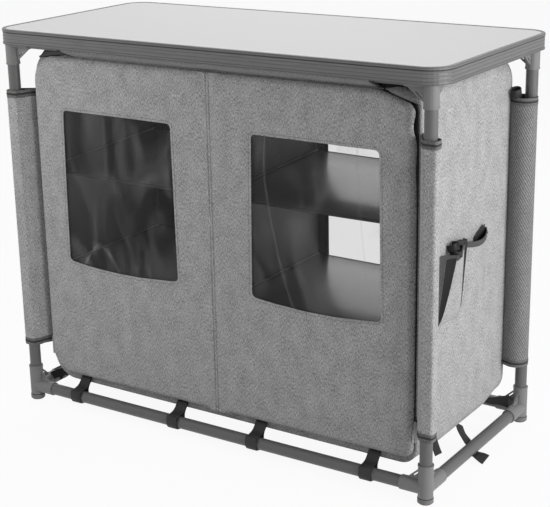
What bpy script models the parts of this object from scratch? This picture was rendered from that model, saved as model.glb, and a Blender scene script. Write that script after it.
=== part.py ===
"""Fabric camp kitchen cupboard: a plugged tube frame, a lift-off worktop and a hung fabric cabinet.

X runs along the cupboard, with the pocket side at +X. The doors face -Y, and +Z is up. The origin
is on the floor, under the middle of the worktop. Lengths are in metres.
"""
import math

import bmesh
import bpy
import numpy as np

# Driving dimensions
HEIGHT = 0.800
WORKTOP_LENGTH = 1.000
WORKTOP_DEPTH = 0.462
LEG_INSET_X = 0.030
LEG_INSET_Y = 0.021
TUBE_RADIUS = 0.0120
BOTTOM_RAIL_HEIGHT = 0.0297

# How the cabinet hangs in the frame, measured from the legs' axes and the overall height
CABINET_SIDE_GAP = 0.0325
CABINET_REAR_GAP = 0.0175
DOOR_FACE_GAP = 0.0135
CABINET_BOTTOM = 0.052
CABINET_TOP_DROP = 0.043

# Clearances and sheet thicknesses
FIT = 0.0003
OVERRUN = 0.002
TUBE_WALL = 0.0012
PANEL = 0.0020
WEBBING = 0.0014
FILM = 0.0006

# Worktop
WORKTOP_CORNER_RADIUS = 0.045
BOARD_THICKNESS = 0.0085
FIELD_RISE = 0.0008
LIP_THICKNESS = 0.0012
LIP_REACH = 0.0045
EDGE_HEIGHT = 0.0305
EDGE_WALL = 0.0024
EDGE_RELIEF = 0.0006
EDGE_BEVEL = 0.0011
BEAD_HEIGHT = 0.0050
GROOVE_DEPTH = 0.0006
GROOVE_HEIGHT = 0.0022
RIB_DEPTH = 0.0006
RIB_COUNT = 3
FLANGE_HEIGHT = 0.0028
LEDGE_REACH = 0.0020
LEDGE_THICKNESS = 0.0012
PEG_RADIUS = 0.0040
PEG_HEIGHT = 0.0050
PEG_CLEARANCE = 0.0005

# Connectors and feet
UPPER_SOCKET_WALL = 0.0012
LOWER_SOCKET_WALL = 0.0018
SOCKET_REACH_X = 0.049
SOCKET_REACH_Y = 0.058
SOCKET_STOP = 0.0012
UPPER_SLEEVE_DROP = 0.0468
LOWER_SLEEVE_RISE = 0.047
CONNECTOR_CAP = 0.0030
SLEEVE_EXTRA = 0.0003
COLLAR_HEIGHT = 0.0030
COLLAR_REACH = 0.0006
COLLAR_SETBACK = 0.0006
WEB_THICKNESS = 0.0030
UPPER_WEB_REACH = 0.0475
UPPER_WEB_RISE = 0.0450
LOWER_WEB_REACH = 0.0390
LOWER_WEB_RISE = 0.0430
WEB_HEEL = 0.0120
WEB_TOE = 0.0050
WEB_SLOT_WIDTH = 0.0022
WEB_SLOT_LENGTH = 0.0150
WEB_SLOT_INSET = 0.0045
FOOT_RADIUS = 0.0152
FOOT_HEIGHT = 0.0105
FOOT_CHAMFER = 0.0025
FOOT_GROOVE = 0.0018
FOOT_NECK_DEPTH = 0.0040

# Cabinet
FRONT_RADIUS_LEFT = 0.053
FRONT_RADIUS_RIGHT = 0.036
MIDDLE_RADIUS = 0.030
REAR_RADIUS = 0.050
RADIUS_FADE = 0.085
WALL_BULGE = 0.004
FRAME_STRIP = 0.022
FRAME_INNER_RADIUS = 0.026
REAR_BORDER = 0.032
REAR_SIDE_BORDER = 0.100
REAR_MIDDLE_STRIP = 0.044
REAR_WINDOW_RADIUS = 0.016
SHELF_SHARES = (0.342, 0.666)
SHELF_THICKNESS = 0.0050
SHELF_END_GAP = 0.0008
SHELF_FRONT_SETBACK = 0.0045
SEAM_STRIP_WIDTH = 0.0080

# Doors and windows
DOOR_SIDE_INSET = 0.0035
DOOR_BOTTOM_INSET = 0.016
DOOR_TOP_INSET = 0.010
DOOR_EDGE_RADIUS = 0.0120
DOOR_SEAM_RADIUS = 0.0020
DOOR_CROWN = 0.0050
DOOR_FOLD_DEPTH = 0.0014
DOOR_FOLD_PITCH = 0.210
FOLD_SEAM_SHARE = 0.25
FOLD_FOOT_SHARE = 0.50
FOLD_EDGE_SHARE = 1 / 6
DOOR_EDGE_ANGLES = (0, 35, 65, 90)
DOOR_RING_SHARES = (0.33, 0.66, 1.0)
CORNER_CURL = 0.0070
CORNER_CURL_REACH = 0.110
HINGE_GAP = 0.0004
WINDOW_HEAD_MARGIN = 0.105
WINDOW_FOOT_MARGIN = 0.259
WINDOW_SEAM_MARGIN = 0.088
WINDOW_SIDE_MARGIN = 0.0736
WINDOW_SHIFT = 0.0045
WINDOW_RADIUS = 0.009
WINDOW_FLARE = 0.010
WINDOW_SAG = 0.008
WINDOW_LAP = 0.009
WINDOW_GAP = 0.0010

# Zip
ZIP_RADIUS = 0.0012
ZIP_INSET = 0.0010
SLIDER_WIDTH = 0.0048
SLIDER_DEPTH = 0.0060
SLIDER_HEIGHT = 0.0120
SLIDER_BEVEL = 0.0008
SLIDER_SIDE_GAP = 0.0006
SLIDER_REST_RISE = 0.0880
SLIDER_REAR_REACH = 0.0020
PULL_CORD_RADIUS = 0.0011
PULL_LENGTH = 0.040
PULL_WIDTH = 0.0060
PULL_TOP_SHARE = 0.25

# Rail wraps, leg sleeves and straps
WRAP_END_GAP = 0.105
WRAP_HEM_RADIUS = 0.0012
WRAP_SEAM_LIFT = 0.0018
SLEEVE_BOTTOM = 0.127
SLEEVE_TOP_DROP = 0.124
SLEEVE_CLOTH = 0.0010
SLEEVE_SLACK = 0.0006
SLEEVE_SEAM_SETBACK = 0.0023
STRAP_WIDTH = 0.025
FRONT_STRAP_SHARES = (-0.80, -0.22, 0.22, 0.80)
FRONT_STRAP_LIFT = 0.0105
LEFT_STRAP_GAP = 0.0010
SIDE_STRAP_INSET = 0.0175
MIDDLE_STRAP_Y = 0.018
MIDDLE_STRAP_SLANT = 0.026
MIDDLE_STRAP_TAIL = 0.0250
MIDDLE_STRAP_TAIL_DROP = 0.0080
MIDDLE_STRAP_ANGLES = (190, 285)
FREE_STRAP_Y = -0.105
FREE_STRAP_REACH = 0.027
FREE_STRAP_DROP = 0.006
FREE_STRAP_BEND = math.radians(135)

# Side pocket
POCKET_CLOTH = 0.0010
POCKET_BOTTOM = 0.300
POCKET_TOP = 0.440
POCKET_SEAMS_Y = (-0.158, -0.055, -0.010, 0.082)
POCKET_BULGES = (0.018, 0.010, 0.016)
POCKET_MOUTH_SAG = 0.008
POCKET_ROUND_POWER = 0.75
POCKET_TAPER_POWER = 1.2

# How finely round shapes are divided
TUBE_SIDES = 20
ARC_POINTS = 4
WORKTOP_ARC_POINTS = 9
SHARP_ANGLE = math.radians(35)
MERGE_DISTANCE = 0.00001

# Places worked out from the sizes above
LEG_X = WORKTOP_LENGTH / 2 - LEG_INSET_X
LEG_Y = WORKTOP_DEPTH / 2 - LEG_INSET_Y
BORE_RADIUS = TUBE_RADIUS + FIT
BOARD_TOP = HEIGHT - LIP_THICKNESS - FIT
BOARD_UNDERSIDE = BOARD_TOP - BOARD_THICKNESS
CONNECTOR_TOP = BOARD_UNDERSIDE - FIT - LEDGE_THICKNESS - FIT
TOP_RAIL_HEIGHT = CONNECTOR_TOP - BORE_RADIUS - UPPER_SOCKET_WALL
BODY_X = LEG_X - CABINET_SIDE_GAP
CABINET_TOP = HEIGHT - CABINET_TOP_DROP
CABINET_REAR_Y = LEG_Y - CABINET_REAR_GAP
DOOR_FACE_Y = DOOR_FACE_GAP - LEG_Y
DOOR_HALF_WIDTH = BODY_X - DOOR_SIDE_INSET
DOOR_BOTTOM = CABINET_BOTTOM + DOOR_BOTTOM_INSET
DOOR_TOP = CABINET_TOP - DOOR_TOP_INSET
ZIP_Y = DOOR_FACE_Y + DOOR_EDGE_RADIUS + FIT + ZIP_RADIUS + FIT
FRAME_Y = ZIP_Y + ZIP_RADIUS + FIT + PANEL / 2
WALL_FRONT_Y = FRAME_Y + PANEL / 2 + FIT
REAR_PANEL_Y = CABINET_REAR_Y - PANEL / 2
WALL_REAR_Y = REAR_PANEL_Y - PANEL / 2 - FIT
HINGE_X = SEAM_STRIP_WIDTH / 2 + HINGE_GAP
WINDOW_TOP = DOOR_TOP - WINDOW_HEAD_MARGIN
WINDOW_BOTTOM = DOOR_BOTTOM + WINDOW_FOOT_MARGIN
WINDOW_WIDTH = DOOR_HALF_WIDTH - HINGE_X - WINDOW_SEAM_MARGIN - WINDOW_SIDE_MARGIN
WRAP_LENGTH = 2 * (LEG_X - WRAP_END_GAP)
SLEEVE_TOP = HEIGHT - SLEEVE_TOP_DROP
WRAP_RADIUS = BORE_RADIUS + SLEEVE_CLOTH
RAIL_STOP = BORE_RADIUS + SOCKET_STOP

parts = bpy.data.collections.new("camp_kitchen_cupboard")
helpers = bpy.data.collections.new("cutters_and_guides")


def clear_scene():
    """Removes every object that the scene starts with."""
    for obj in list(bpy.data.objects):
        bpy.data.objects.remove(obj, do_unlink=True)
    bpy.context.scene.collection.children.link(parts)
    bpy.context.scene.collection.children.link(helpers)


def make_material(name, colour, roughness, metallic=0.0, alpha=1.0):
    """A Principled material; colour is linear red, green and blue."""
    material = bpy.data.materials.new(name)
    material.use_nodes = True
    shader = material.node_tree.nodes["Principled BSDF"]
    shader.inputs["Base Color"].default_value = (*colour, 1.0)
    shader.inputs["Roughness"].default_value = roughness
    shader.inputs["Metallic"].default_value = metallic
    shader.inputs["Alpha"].default_value = alpha
    return material


MATERIALS = {
    "board": make_material("board", (0.68, 0.68, 0.67), 0.45),
    "edge": make_material("edge", (0.17, 0.17, 0.17), 0.40, 0.6),
    "tube": make_material("tube", (0.13, 0.13, 0.13), 0.38, 0.5),
    "moulding": make_material("moulding", (0.22, 0.22, 0.22), 0.50),
    "cloth": make_material("cloth", (0.27, 0.27, 0.27), 0.90),
    "lining": make_material("lining", (0.05, 0.05, 0.05), 0.85),
    "film": make_material("film", (0.40, 0.40, 0.40), 0.15, 0.0, 0.35),
    "webbing": make_material("webbing", (0.02, 0.02, 0.02), 0.80),
    "zip": make_material("zip", (0.03, 0.03, 0.03), 0.45),
}


def place(obj, collection):
    """Puts an object in one collection only."""
    for old in list(obj.users_collection):
        old.objects.unlink(obj)
    collection.objects.link(obj)
    return obj


def as_part(obj, name, material):
    """Names an object as a sub-part, gives it its finish and shades its round faces smooth."""
    obj.name = name
    obj.data.name = name
    obj.data.materials.clear()
    obj.data.materials.append(MATERIALS[material])
    place(obj, parts)
    if obj.type == "MESH" and obj.data.polygons:
        obj.data.shade_smooth()
        obj.data.set_sharp_from_angle(angle=SHARP_ANGLE)
    return obj


def as_helper(obj, name):
    """Hides a cutter or a guide from the render."""
    obj.name = name
    obj.hide_render = True
    obj.display_type = "WIRE"
    return place(obj, helpers)


def cylinder(radius, length, centre, axis):
    """A round bar along X, Y or Z, as a mesh primitive."""
    turns = {"X": (0, math.pi / 2, 0), "Y": (math.pi / 2, 0, 0), "Z": (0, 0, 0)}
    bpy.ops.mesh.primitive_cylinder_add(
        vertices=TUBE_SIDES, radius=radius, depth=length, location=centre, rotation=turns[axis])
    return bpy.context.object


def box(low, high):
    """A box between two corners, with its scale applied."""
    low, high = np.array(low), np.array(high)
    mesh = bpy.data.meshes.new("box")
    shape = bmesh.new()
    bmesh.ops.create_cube(shape, size=1.0)
    bmesh.ops.scale(shape, vec=tuple(high - low), verts=shape.verts)
    shape.to_mesh(mesh)
    shape.free()
    obj = bpy.data.objects.new("box", mesh)
    obj.location = tuple((low + high) / 2)
    return place(obj, parts)


def turned(name, profile, centre, axis, material):
    """A closed profile of (radius, height) points, listed down its outer side, turned about an axis."""
    mesh = bpy.data.meshes.new(name)
    count = len(profile)
    corners = [(radius, 0, height) for radius, height in profile]
    mesh.from_pydata(corners, [(i, (i + 1) % count) for i in range(count)], [])
    obj = bpy.data.objects.new(name, mesh)
    obj.location = centre
    turns = {"X": (0, math.pi / 2, 0), "Y": (-math.pi / 2, 0, 0), "Z": (0, 0, 0)}
    obj.rotation_euler = turns[axis]
    screw = obj.modifiers.new("turn", "SCREW")
    screw.steps = screw.render_steps = TUBE_SIDES
    screw.use_merge_vertices = True
    screw.merge_threshold = MERGE_DISTANCE
    return as_part(obj, name, material)


def tube(name, length, centre, axis):
    """A straight tube of the frame, open at both ends."""
    outer, inner, half = TUBE_RADIUS, TUBE_RADIUS - TUBE_WALL, length / 2
    profile = [(outer, half), (outer, -half), (inner, -half), (inner, half)]
    return turned(name, profile, centre, axis, "tube")


def flat_curve(outlines, thickness, plane, level):
    """Closed outlines, the first one outer and the rest holes, filled and given a thickness."""
    curve = bpy.data.curves.new("outline", "CURVE")
    curve.dimensions = "2D"
    curve.fill_mode = "BOTH"
    curve.extrude = thickness / 2
    for outline in outlines:
        spline = curve.splines.new("POLY")
        spline.points.add(len(outline) - 1)
        for point, (a, b) in zip(spline.points, outline):
            point.co = (a, b, 0, 1)
        spline.use_cyclic_u = True
    obj = bpy.data.objects.new("outline", curve)
    quarter = math.pi / 2
    turns = {"XY": (0, 0, 0), "XZ": (quarter, 0, 0), "YZ": (quarter, 0, quarter)}
    shifts = {"XY": (0, 0, level), "XZ": (0, level, 0), "YZ": (level, 0, 0)}
    obj.rotation_euler = turns[plane]
    obj.location = shifts[plane]
    return place(obj, parts)


def meshed(obj):
    """Turns a curve object into a closed mesh object at the same place."""
    bpy.context.view_layer.update()
    seen = obj.evaluated_get(bpy.context.evaluated_depsgraph_get())
    mesh = bpy.data.meshes.new_from_object(seen)
    shape = bmesh.new()
    shape.from_mesh(mesh)
    bmesh.ops.remove_doubles(shape, verts=shape.verts, dist=MERGE_DISTANCE)
    bmesh.ops.recalc_face_normals(shape, faces=shape.faces)
    shape.to_mesh(mesh)
    shape.free()
    solid = bpy.data.objects.new(obj.name, mesh)
    solid.matrix_world = obj.matrix_world.copy()
    bpy.data.objects.remove(obj, do_unlink=True)
    return place(solid, parts)


def combine(obj, other, operation, name):
    """Joins a helper to an object, or cuts it out, with a live Boolean."""
    as_helper(other, name)
    modifier = obj.modifiers.new(name, "BOOLEAN")
    modifier.operation = operation
    modifier.object = other
    modifier.solver = "EXACT"
    return obj


def arc(centre, radius, start, end, count):
    """Points along an arc; angles in radians, both ends included."""
    angles = np.linspace(start, end, count)
    return np.stack([centre[0] + radius * np.cos(angles), centre[1] + radius * np.sin(angles)], 1)


def rounded(x0, x1, z0, z1, radii, side_points=0, arc_points=ARC_POINTS):
    """A rounded rectangle, anticlockwise. Radii run bottom left, bottom right, top right, top left."""
    centres = [(x0 + radii[0], z0 + radii[0]), (x1 - radii[1], z0 + radii[1]),
               (x1 - radii[2], z1 - radii[2]), (x0 + radii[3], z1 - radii[3])]
    quarter = math.pi / 2
    points = []
    corners = [arc(centres[k], radii[k], (k + 2) * quarter, (k + 3) * quarter, arc_points) for k in range(4)]
    for k in range(4):
        points.append(corners[k])
        following = corners[(k + 1) % 4][0]
        shares = np.linspace(0, 1, side_points + 2)[1:-1, None]
        points.append(corners[k][-1] + (following - corners[k][-1]) * shares)
    return np.concatenate(points)


def loop_outline(centre_a, radius_a, centre_b, radius_b):
    """The tight band round two circles: a small seam end A and a large end B round a tube."""
    a, b = np.array(centre_a), np.array(centre_b)
    reach = np.linalg.norm(b - a)
    heading = math.atan2(*(b - a)[::-1])
    lean = math.acos((radius_a - radius_b) / reach)
    round_b = arc(b, radius_b, heading - lean, heading + lean, TUBE_SIDES)
    round_a = arc(a, radius_a, heading + lean, heading - lean + 2 * math.pi, ARC_POINTS + 1)
    return np.concatenate([round_b, round_a])


def web_loop(name, seam, centre, outer_radius, cloth, width, plane, level, material):
    """A band of cloth or webbing looped round a tube and sewn together at its seam end."""
    seam_radius = WRAP_HEM_RADIUS
    outer = loop_outline(seam, seam_radius, centre, outer_radius)
    hole = arc(centre, outer_radius - cloth, 0, 2 * math.pi, TUBE_SIDES + 1)[:-1]
    return as_part(flat_curve([outer, hole], width, plane, level), name, material)


def sheet(name, points, thickness, material, closed=False, origin=(0, 0, 0)):
    """A grid of points (rows, columns, 3) as an open surface with a thickness behind it."""
    rows, columns = points.shape[:2]
    index = np.arange(rows * columns).reshape(rows, columns)
    if closed:
        index = np.concatenate([index, index[:, :1]], 1)
    quads = np.stack([index[:-1, :-1], index[:-1, 1:], index[1:, 1:], index[1:, :-1]], -1)
    mesh = bpy.data.meshes.new(name)
    local = points.reshape(-1, 3) - np.array(origin)
    mesh.from_pydata(local.tolist(), [], quads.reshape(-1, 4).tolist())
    obj = bpy.data.objects.new(name, mesh)
    obj.location = origin
    solidify = obj.modifiers.new("thickness", "SOLIDIFY")
    solidify.thickness = thickness
    solidify.offset = -1
    solidify.use_even_offset = True
    return as_part(obj, name, material)


def smooth(share):
    """A smooth step from 0 to 1."""
    share = np.clip(share, 0, 1)
    return share * share * (3 - 2 * share)


def worktop_outline(inset):
    """The worktop's outline from above, moved in by an inset."""
    half_x, half_y = WORKTOP_LENGTH / 2 - inset, WORKTOP_DEPTH / 2 - inset
    radii = [WORKTOP_CORNER_RADIUS - inset] * 4
    return rounded(-half_x, half_x, -half_y, half_y, radii, arc_points=WORKTOP_ARC_POINTS)


def make_worktop():
    """The board, its ribbed aluminium edge and the empty that lifts them together."""
    lift = bpy.data.objects.new("worktop_lift", None)
    lift.location = (0, 0, BOARD_UNDERSIDE)
    parts.objects.link(lift)
    inset, field_inset = EDGE_WALL + FIT, EDGE_WALL + LIP_REACH + FIT
    middle = (BOARD_TOP + BOARD_UNDERSIDE) / 2
    board = meshed(flat_curve([worktop_outline(inset)], BOARD_THICKNESS, "XY", middle))
    field_top, field_bottom = BOARD_TOP + FIELD_RISE, BOARD_TOP - BOARD_THICKNESS / 2
    field = meshed(flat_curve([worktop_outline(field_inset)], field_top - field_bottom, "XY",
                              (field_top + field_bottom) / 2))
    combine(board, field, "UNION", "raised_field")
    depth = PEG_HEIGHT + FIT + OVERRUN
    for x in (-LEG_X, LEG_X):
        for y in (-LEG_Y, LEG_Y):
            middle = BOARD_UNDERSIDE - OVERRUN + depth / 2
            hole = cylinder(PEG_RADIUS + PEG_CLEARANCE, depth, (x, y, middle), "Z")
            combine(board, hole, "DIFFERENCE", "peg_hole")
    board = as_part(board, "worktop_board", "board")

    face = -EDGE_RELIEF
    profile = [(-EDGE_WALL - LIP_REACH, 0), (-EDGE_BEVEL, 0), (0, -EDGE_BEVEL), (0, -BEAD_HEIGHT),
               (face - GROOVE_DEPTH, -BEAD_HEIGHT - GROOVE_HEIGHT / 2),
               (face, -BEAD_HEIGHT - GROOVE_HEIGHT)]
    ribs_top = BEAD_HEIGHT + GROOVE_HEIGHT
    ribs_bottom = EDGE_HEIGHT - FLANGE_HEIGHT
    pitch = (ribs_bottom - ribs_top) / RIB_COUNT
    for k in range(RIB_COUNT):
        low = ribs_top + (k + 1) * pitch
        profile += [(face - RIB_DEPTH, pitch / 2 - low), (face, -low)]
    ledge_top = HEIGHT - BOARD_UNDERSIDE + FIT
    profile += [(0, -ribs_bottom), (0, -EDGE_HEIGHT), (-EDGE_WALL, -EDGE_HEIGHT),
                (-EDGE_WALL, -ledge_top - LEDGE_THICKNESS),
                (-EDGE_WALL - LEDGE_REACH, -ledge_top - LEDGE_THICKNESS),
                (-EDGE_WALL - LEDGE_REACH, -ledge_top), (-EDGE_WALL, -ledge_top),
                (-EDGE_WALL, -LIP_THICKNESS), (-EDGE_WALL - LIP_REACH, -LIP_THICKNESS)]
    section = bpy.data.curves.new("edge_section", "CURVE")
    section.dimensions = "2D"
    section.fill_mode = "NONE"
    spline = section.splines.new("POLY")
    spline.points.add(len(profile) - 1)
    for point, (out, up) in zip(spline.points, profile):
        point.co = (-out, up, 0, 1)
    spline.use_cyclic_u = True
    guide = as_helper(place(bpy.data.objects.new("edge_section", section), helpers), "edge_section")
    path = bpy.data.curves.new("worktop_edge", "CURVE")
    path.dimensions = "2D"
    path.fill_mode = "NONE"
    path.bevel_mode = "OBJECT"
    path.bevel_object = guide
    route = worktop_outline(0)
    spline = path.splines.new("POLY")
    spline.points.add(len(route) - 1)
    for point, (x, y) in zip(spline.points, route):
        point.co = (x, y, 0, 1)
    spline.use_cyclic_u = True
    edge = bpy.data.objects.new("worktop_edge", path)
    edge.location = (0, 0, HEIGHT)
    edge = as_part(meshed(place(edge, parts)), "worktop_edge", "edge")
    for piece in (board, edge):
        piece.parent = lift
        piece.location.z -= BOARD_UNDERSIDE


def socket_place(x, y, z, side_x, side_y, axis, distance):
    """A place on a rail socket's axis, at a distance in from the leg's axis."""
    if axis == "X":
        return (x - side_x * distance, y, z)
    return (x, y - side_y * distance, z)


def make_connector(name, side_x, side_y, rail_height, low, high, wall, web_reach, web_rise):
    """A corner moulding: a sleeve for the leg, a socket for each rail, and two slotted webs."""
    x, y = side_x * LEG_X, side_y * LEG_Y
    upper = high - rail_height < rail_height - low
    socket_radius = BORE_RADIUS + wall
    sleeve_radius = socket_radius + SLEEVE_EXTRA
    body = cylinder(sleeve_radius, high - low, (x, y, (low + high) / 2), "Z")
    reaches = (("X", SOCKET_REACH_X), ("Y", SOCKET_REACH_Y))
    for axis, reach in reaches:
        centre = socket_place(x, y, rail_height, side_x, side_y, axis, reach / 2)
        combine(body, cylinder(socket_radius, reach, centre, axis), "UNION", "socket")
    turn = -1 if upper else 1
    heel, toe = np.array([web_reach, turn * WEB_HEEL]), np.array([WEB_TOE, turn * web_rise])
    web = [(0, 0), (web_reach, 0), heel, toe, (0, turn * web_rise)]
    along = (toe - heel) / np.linalg.norm(toe - heel)
    inward = np.array([-along[1], along[0]]) * turn
    slot_middle = (heel + toe) / 2 + inward * WEB_SLOT_INSET
    slot_half, across = along * WEB_SLOT_LENGTH / 2, inward * WEB_SLOT_WIDTH / 2
    slot = [slot_middle + slot_half + across, slot_middle - slot_half + across,
            slot_middle - slot_half - across, slot_middle + slot_half - across]
    for plane, base, side, level in (("XZ", x, side_x, y), ("YZ", y, side_y, x)):
        outline = [(base - side * a, rail_height + b) for a, b in web]
        hole = [(base - side * a, rail_height + b) for a, b in slot]
        plate = meshed(flat_curve([outline], WEB_THICKNESS, plane, level))
        combine(body, plate, "UNION", "web")
        cut = meshed(flat_curve([hole], WEB_THICKNESS + 2 * OVERRUN, plane, level))
        combine(body, cut, "DIFFERENCE", "web_slot")
    collar_offset = COLLAR_SETBACK + COLLAR_HEIGHT / 2
    collar_level = low + collar_offset if upper else high - collar_offset
    collar = cylinder(sleeve_radius + COLLAR_REACH, COLLAR_HEIGHT, (x, y, collar_level), "Z")
    combine(body, collar, "UNION", "collar")
    bore_low = low - OVERRUN
    bore_high = high - CONNECTOR_CAP if upper else high + OVERRUN
    bore = cylinder(BORE_RADIUS, bore_high - bore_low, (x, y, (bore_low + bore_high) / 2), "Z")
    combine(body, bore, "DIFFERENCE", "leg_bore")
    for axis, reach in reaches:
        start, end = RAIL_STOP - FIT, reach + OVERRUN
        centre = socket_place(x, y, rail_height, side_x, side_y, axis, (start + end) / 2)
        combine(body, cylinder(BORE_RADIUS, end - start, centre, axis), "DIFFERENCE", "rail_bore")
    if upper:
        peg = cylinder(PEG_RADIUS, PEG_HEIGHT + CONNECTOR_CAP / 2,
                       (x, y, high + PEG_HEIGHT / 2 - CONNECTOR_CAP / 4), "Z")
        combine(body, peg, "UNION", "peg")
    return as_part(body, name, "moulding")


def make_frame():
    """Legs, rails, corner mouldings and feet."""
    ends_x = {-1: "left", 1: "right"}
    ends_y = {-1: "front", 1: "rear"}
    neck_top = FOOT_HEIGHT + FOOT_GROOVE + FOOT_NECK_DEPTH
    leg_low = neck_top + FIT
    leg_high = CONNECTOR_TOP - CONNECTOR_CAP - FIT
    sleeve_low = FOOT_HEIGHT + FOOT_GROOVE
    for side_y in (-1, 1):
        for side_x in (-1, 1):
            place_name = ends_y[side_y] + "_" + ends_x[side_x]
            x, y = side_x * LEG_X, side_y * LEG_Y
            tube("leg_" + place_name, leg_high - leg_low, (x, y, (leg_low + leg_high) / 2), "Z")
            make_connector("upper_connector_" + place_name, side_x, side_y, TOP_RAIL_HEIGHT,
                           TOP_RAIL_HEIGHT - UPPER_SLEEVE_DROP, CONNECTOR_TOP, UPPER_SOCKET_WALL,
                           UPPER_WEB_REACH, UPPER_WEB_RISE)
            make_connector("lower_connector_" + place_name, side_x, side_y, BOTTOM_RAIL_HEIGHT,
                           sleeve_low, BOTTOM_RAIL_HEIGHT + LOWER_SLEEVE_RISE, LOWER_SOCKET_WALL,
                           LOWER_WEB_REACH, LOWER_WEB_RISE)
            neck = TUBE_RADIUS
            profile = [(0, neck_top), (neck, neck_top), (neck, FOOT_HEIGHT), (FOOT_RADIUS, FOOT_HEIGHT),
                       (FOOT_RADIUS, FOOT_CHAMFER), (FOOT_RADIUS - FOOT_CHAMFER, 0), (0, 0)]
            turned("foot_cap_" + place_name, profile, (x, y, 0), "Z", "moulding")
    length_x = 2 * (LEG_X - RAIL_STOP)
    length_y = 2 * (LEG_Y - RAIL_STOP)
    for level_name, height in (("top_rail_", TOP_RAIL_HEIGHT), ("bottom_rail_", BOTTOM_RAIL_HEIGHT)):
        for side in (-1, 1):
            tube(level_name + ends_y[side], length_x, (0, side * LEG_Y, height), "X")
            tube(level_name + ends_x[side], length_y, (side * LEG_X, 0, height), "Y")


def corner_radius(side, y):
    """The cabinet's corner radius at a depth: soft at the front and rear, tighter between."""
    front = FRONT_RADIUS_RIGHT if side > 0 else FRONT_RADIUS_LEFT
    to_front = 1 - smooth((y - WALL_FRONT_Y) / RADIUS_FADE)
    to_rear = 1 - smooth((WALL_REAR_Y - y) / RADIUS_FADE)
    return MIDDLE_RADIUS + (front - MIDDLE_RADIUS) * to_front + (REAR_RADIUS - MIDDLE_RADIUS) * to_rear


def seam_angle(radius):
    """Half the angle that the gap at a sewn corner takes."""
    return math.asin(FIT / (radius - PANEL))


def wall_section(side, y):
    """One side wall's section at a depth, from its lower seam to its upper seam, as X and Z."""
    radius = corner_radius(side, y)
    gap = seam_angle(radius)
    low = arc((BODY_X - radius, CABINET_BOTTOM + radius), radius, gap - math.pi / 4, 0, ARC_POINTS)
    high = arc((BODY_X - radius, CABINET_TOP - radius), radius, 0, math.pi / 4 - gap, ARC_POINTS)
    shares = np.linspace(0, 1, 7)[1:-1, None]
    straight = low[-1] + (high[0] - low[-1]) * shares
    depth_share = (y - WALL_FRONT_Y) / (WALL_REAR_Y - WALL_FRONT_Y)
    straight[:, 0] += WALL_BULGE * math.sin(math.pi * depth_share) ** 2 * np.sin(math.pi * shares[:, 0])
    section = np.concatenate([low, straight, high])
    return section * np.array([side, 1])


def panel_section(level, y):
    """The floor's section (level -1) or the roof's (level 1) at a depth, from left to right."""
    height = CABINET_TOP if level > 0 else CABINET_BOTTOM
    ends = []
    for side in (-1, 1):
        radius = corner_radius(side, y)
        gap = seam_angle(radius)
        points = arc((BODY_X - radius, height - level * radius), radius,
                     level * (math.pi / 4 + gap), level * math.pi / 2, ARC_POINTS)
        ends.append(points * np.array([side, 1]))
    shares = np.linspace(0, 1, 4)[1:-1, None]
    left, right = ends[0], ends[1][::-1]
    straight = left[-1] + (right[0] - left[-1]) * shares
    return np.concatenate([left, straight, right])


def depth_stations():
    """Depths of the cabinet's sections: closer together where the corners change."""
    front = WALL_FRONT_Y + RADIUS_FADE * np.linspace(0, 1, 5)
    rear = WALL_REAR_Y - RADIUS_FADE * np.linspace(1, 0, 5)
    return np.concatenate([front, [(WALL_FRONT_Y + WALL_REAR_Y) / 2], rear])


def make_shell():
    """Side walls, roof and floor: four sewn panels whose seams run along the rounded corners."""
    for name, side in (("side_wall_left", -1), ("side_wall_right", 1)):
        points = np.array([[(x, y, z) for x, z in wall_section(side, y)] for y in depth_stations()])
        sheet(name, points if side < 0 else points[::-1], PANEL, "cloth")
    for name, level in (("floor_panel", -1), ("roof_panel", 1)):
        points = np.array([[(x, y, z) for x, z in panel_section(level, y)] for y in depth_stations()])
        sheet(name, points if level > 0 else points[::-1], PANEL, "lining")


def body_outline(radii, inset=0.0):
    """The cabinet's outline seen from the front, moved in by an inset."""
    return rounded(inset - BODY_X, BODY_X - inset, CABINET_BOTTOM + inset, CABINET_TOP - inset, radii)


def make_ends():
    """The door surround at the front and the rear panel with its two access openings."""
    front = [FRONT_RADIUS_LEFT, FRONT_RADIUS_RIGHT, FRONT_RADIUS_RIGHT, FRONT_RADIUS_LEFT]
    surround = flat_curve([body_outline(front), body_outline([FRAME_INNER_RADIUS] * 4, FRAME_STRIP)],
                          PANEL, "XZ", FRAME_Y)
    as_part(surround, "door_surround", "cloth")
    holes = []
    low, high = CABINET_BOTTOM + REAR_BORDER, CABINET_TOP - REAR_BORDER
    for side in (-1, 1):
        near, far = side * REAR_MIDDLE_STRIP / 2, side * (BODY_X - REAR_SIDE_BORDER)
        holes.append(rounded(min(near, far), max(near, far), low, high, [REAR_WINDOW_RADIUS] * 4))
    as_part(flat_curve([body_outline([REAR_RADIUS] * 4)] + holes, PANEL, "XZ", REAR_PANEL_Y),
            "rear_panel", "cloth")


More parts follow.
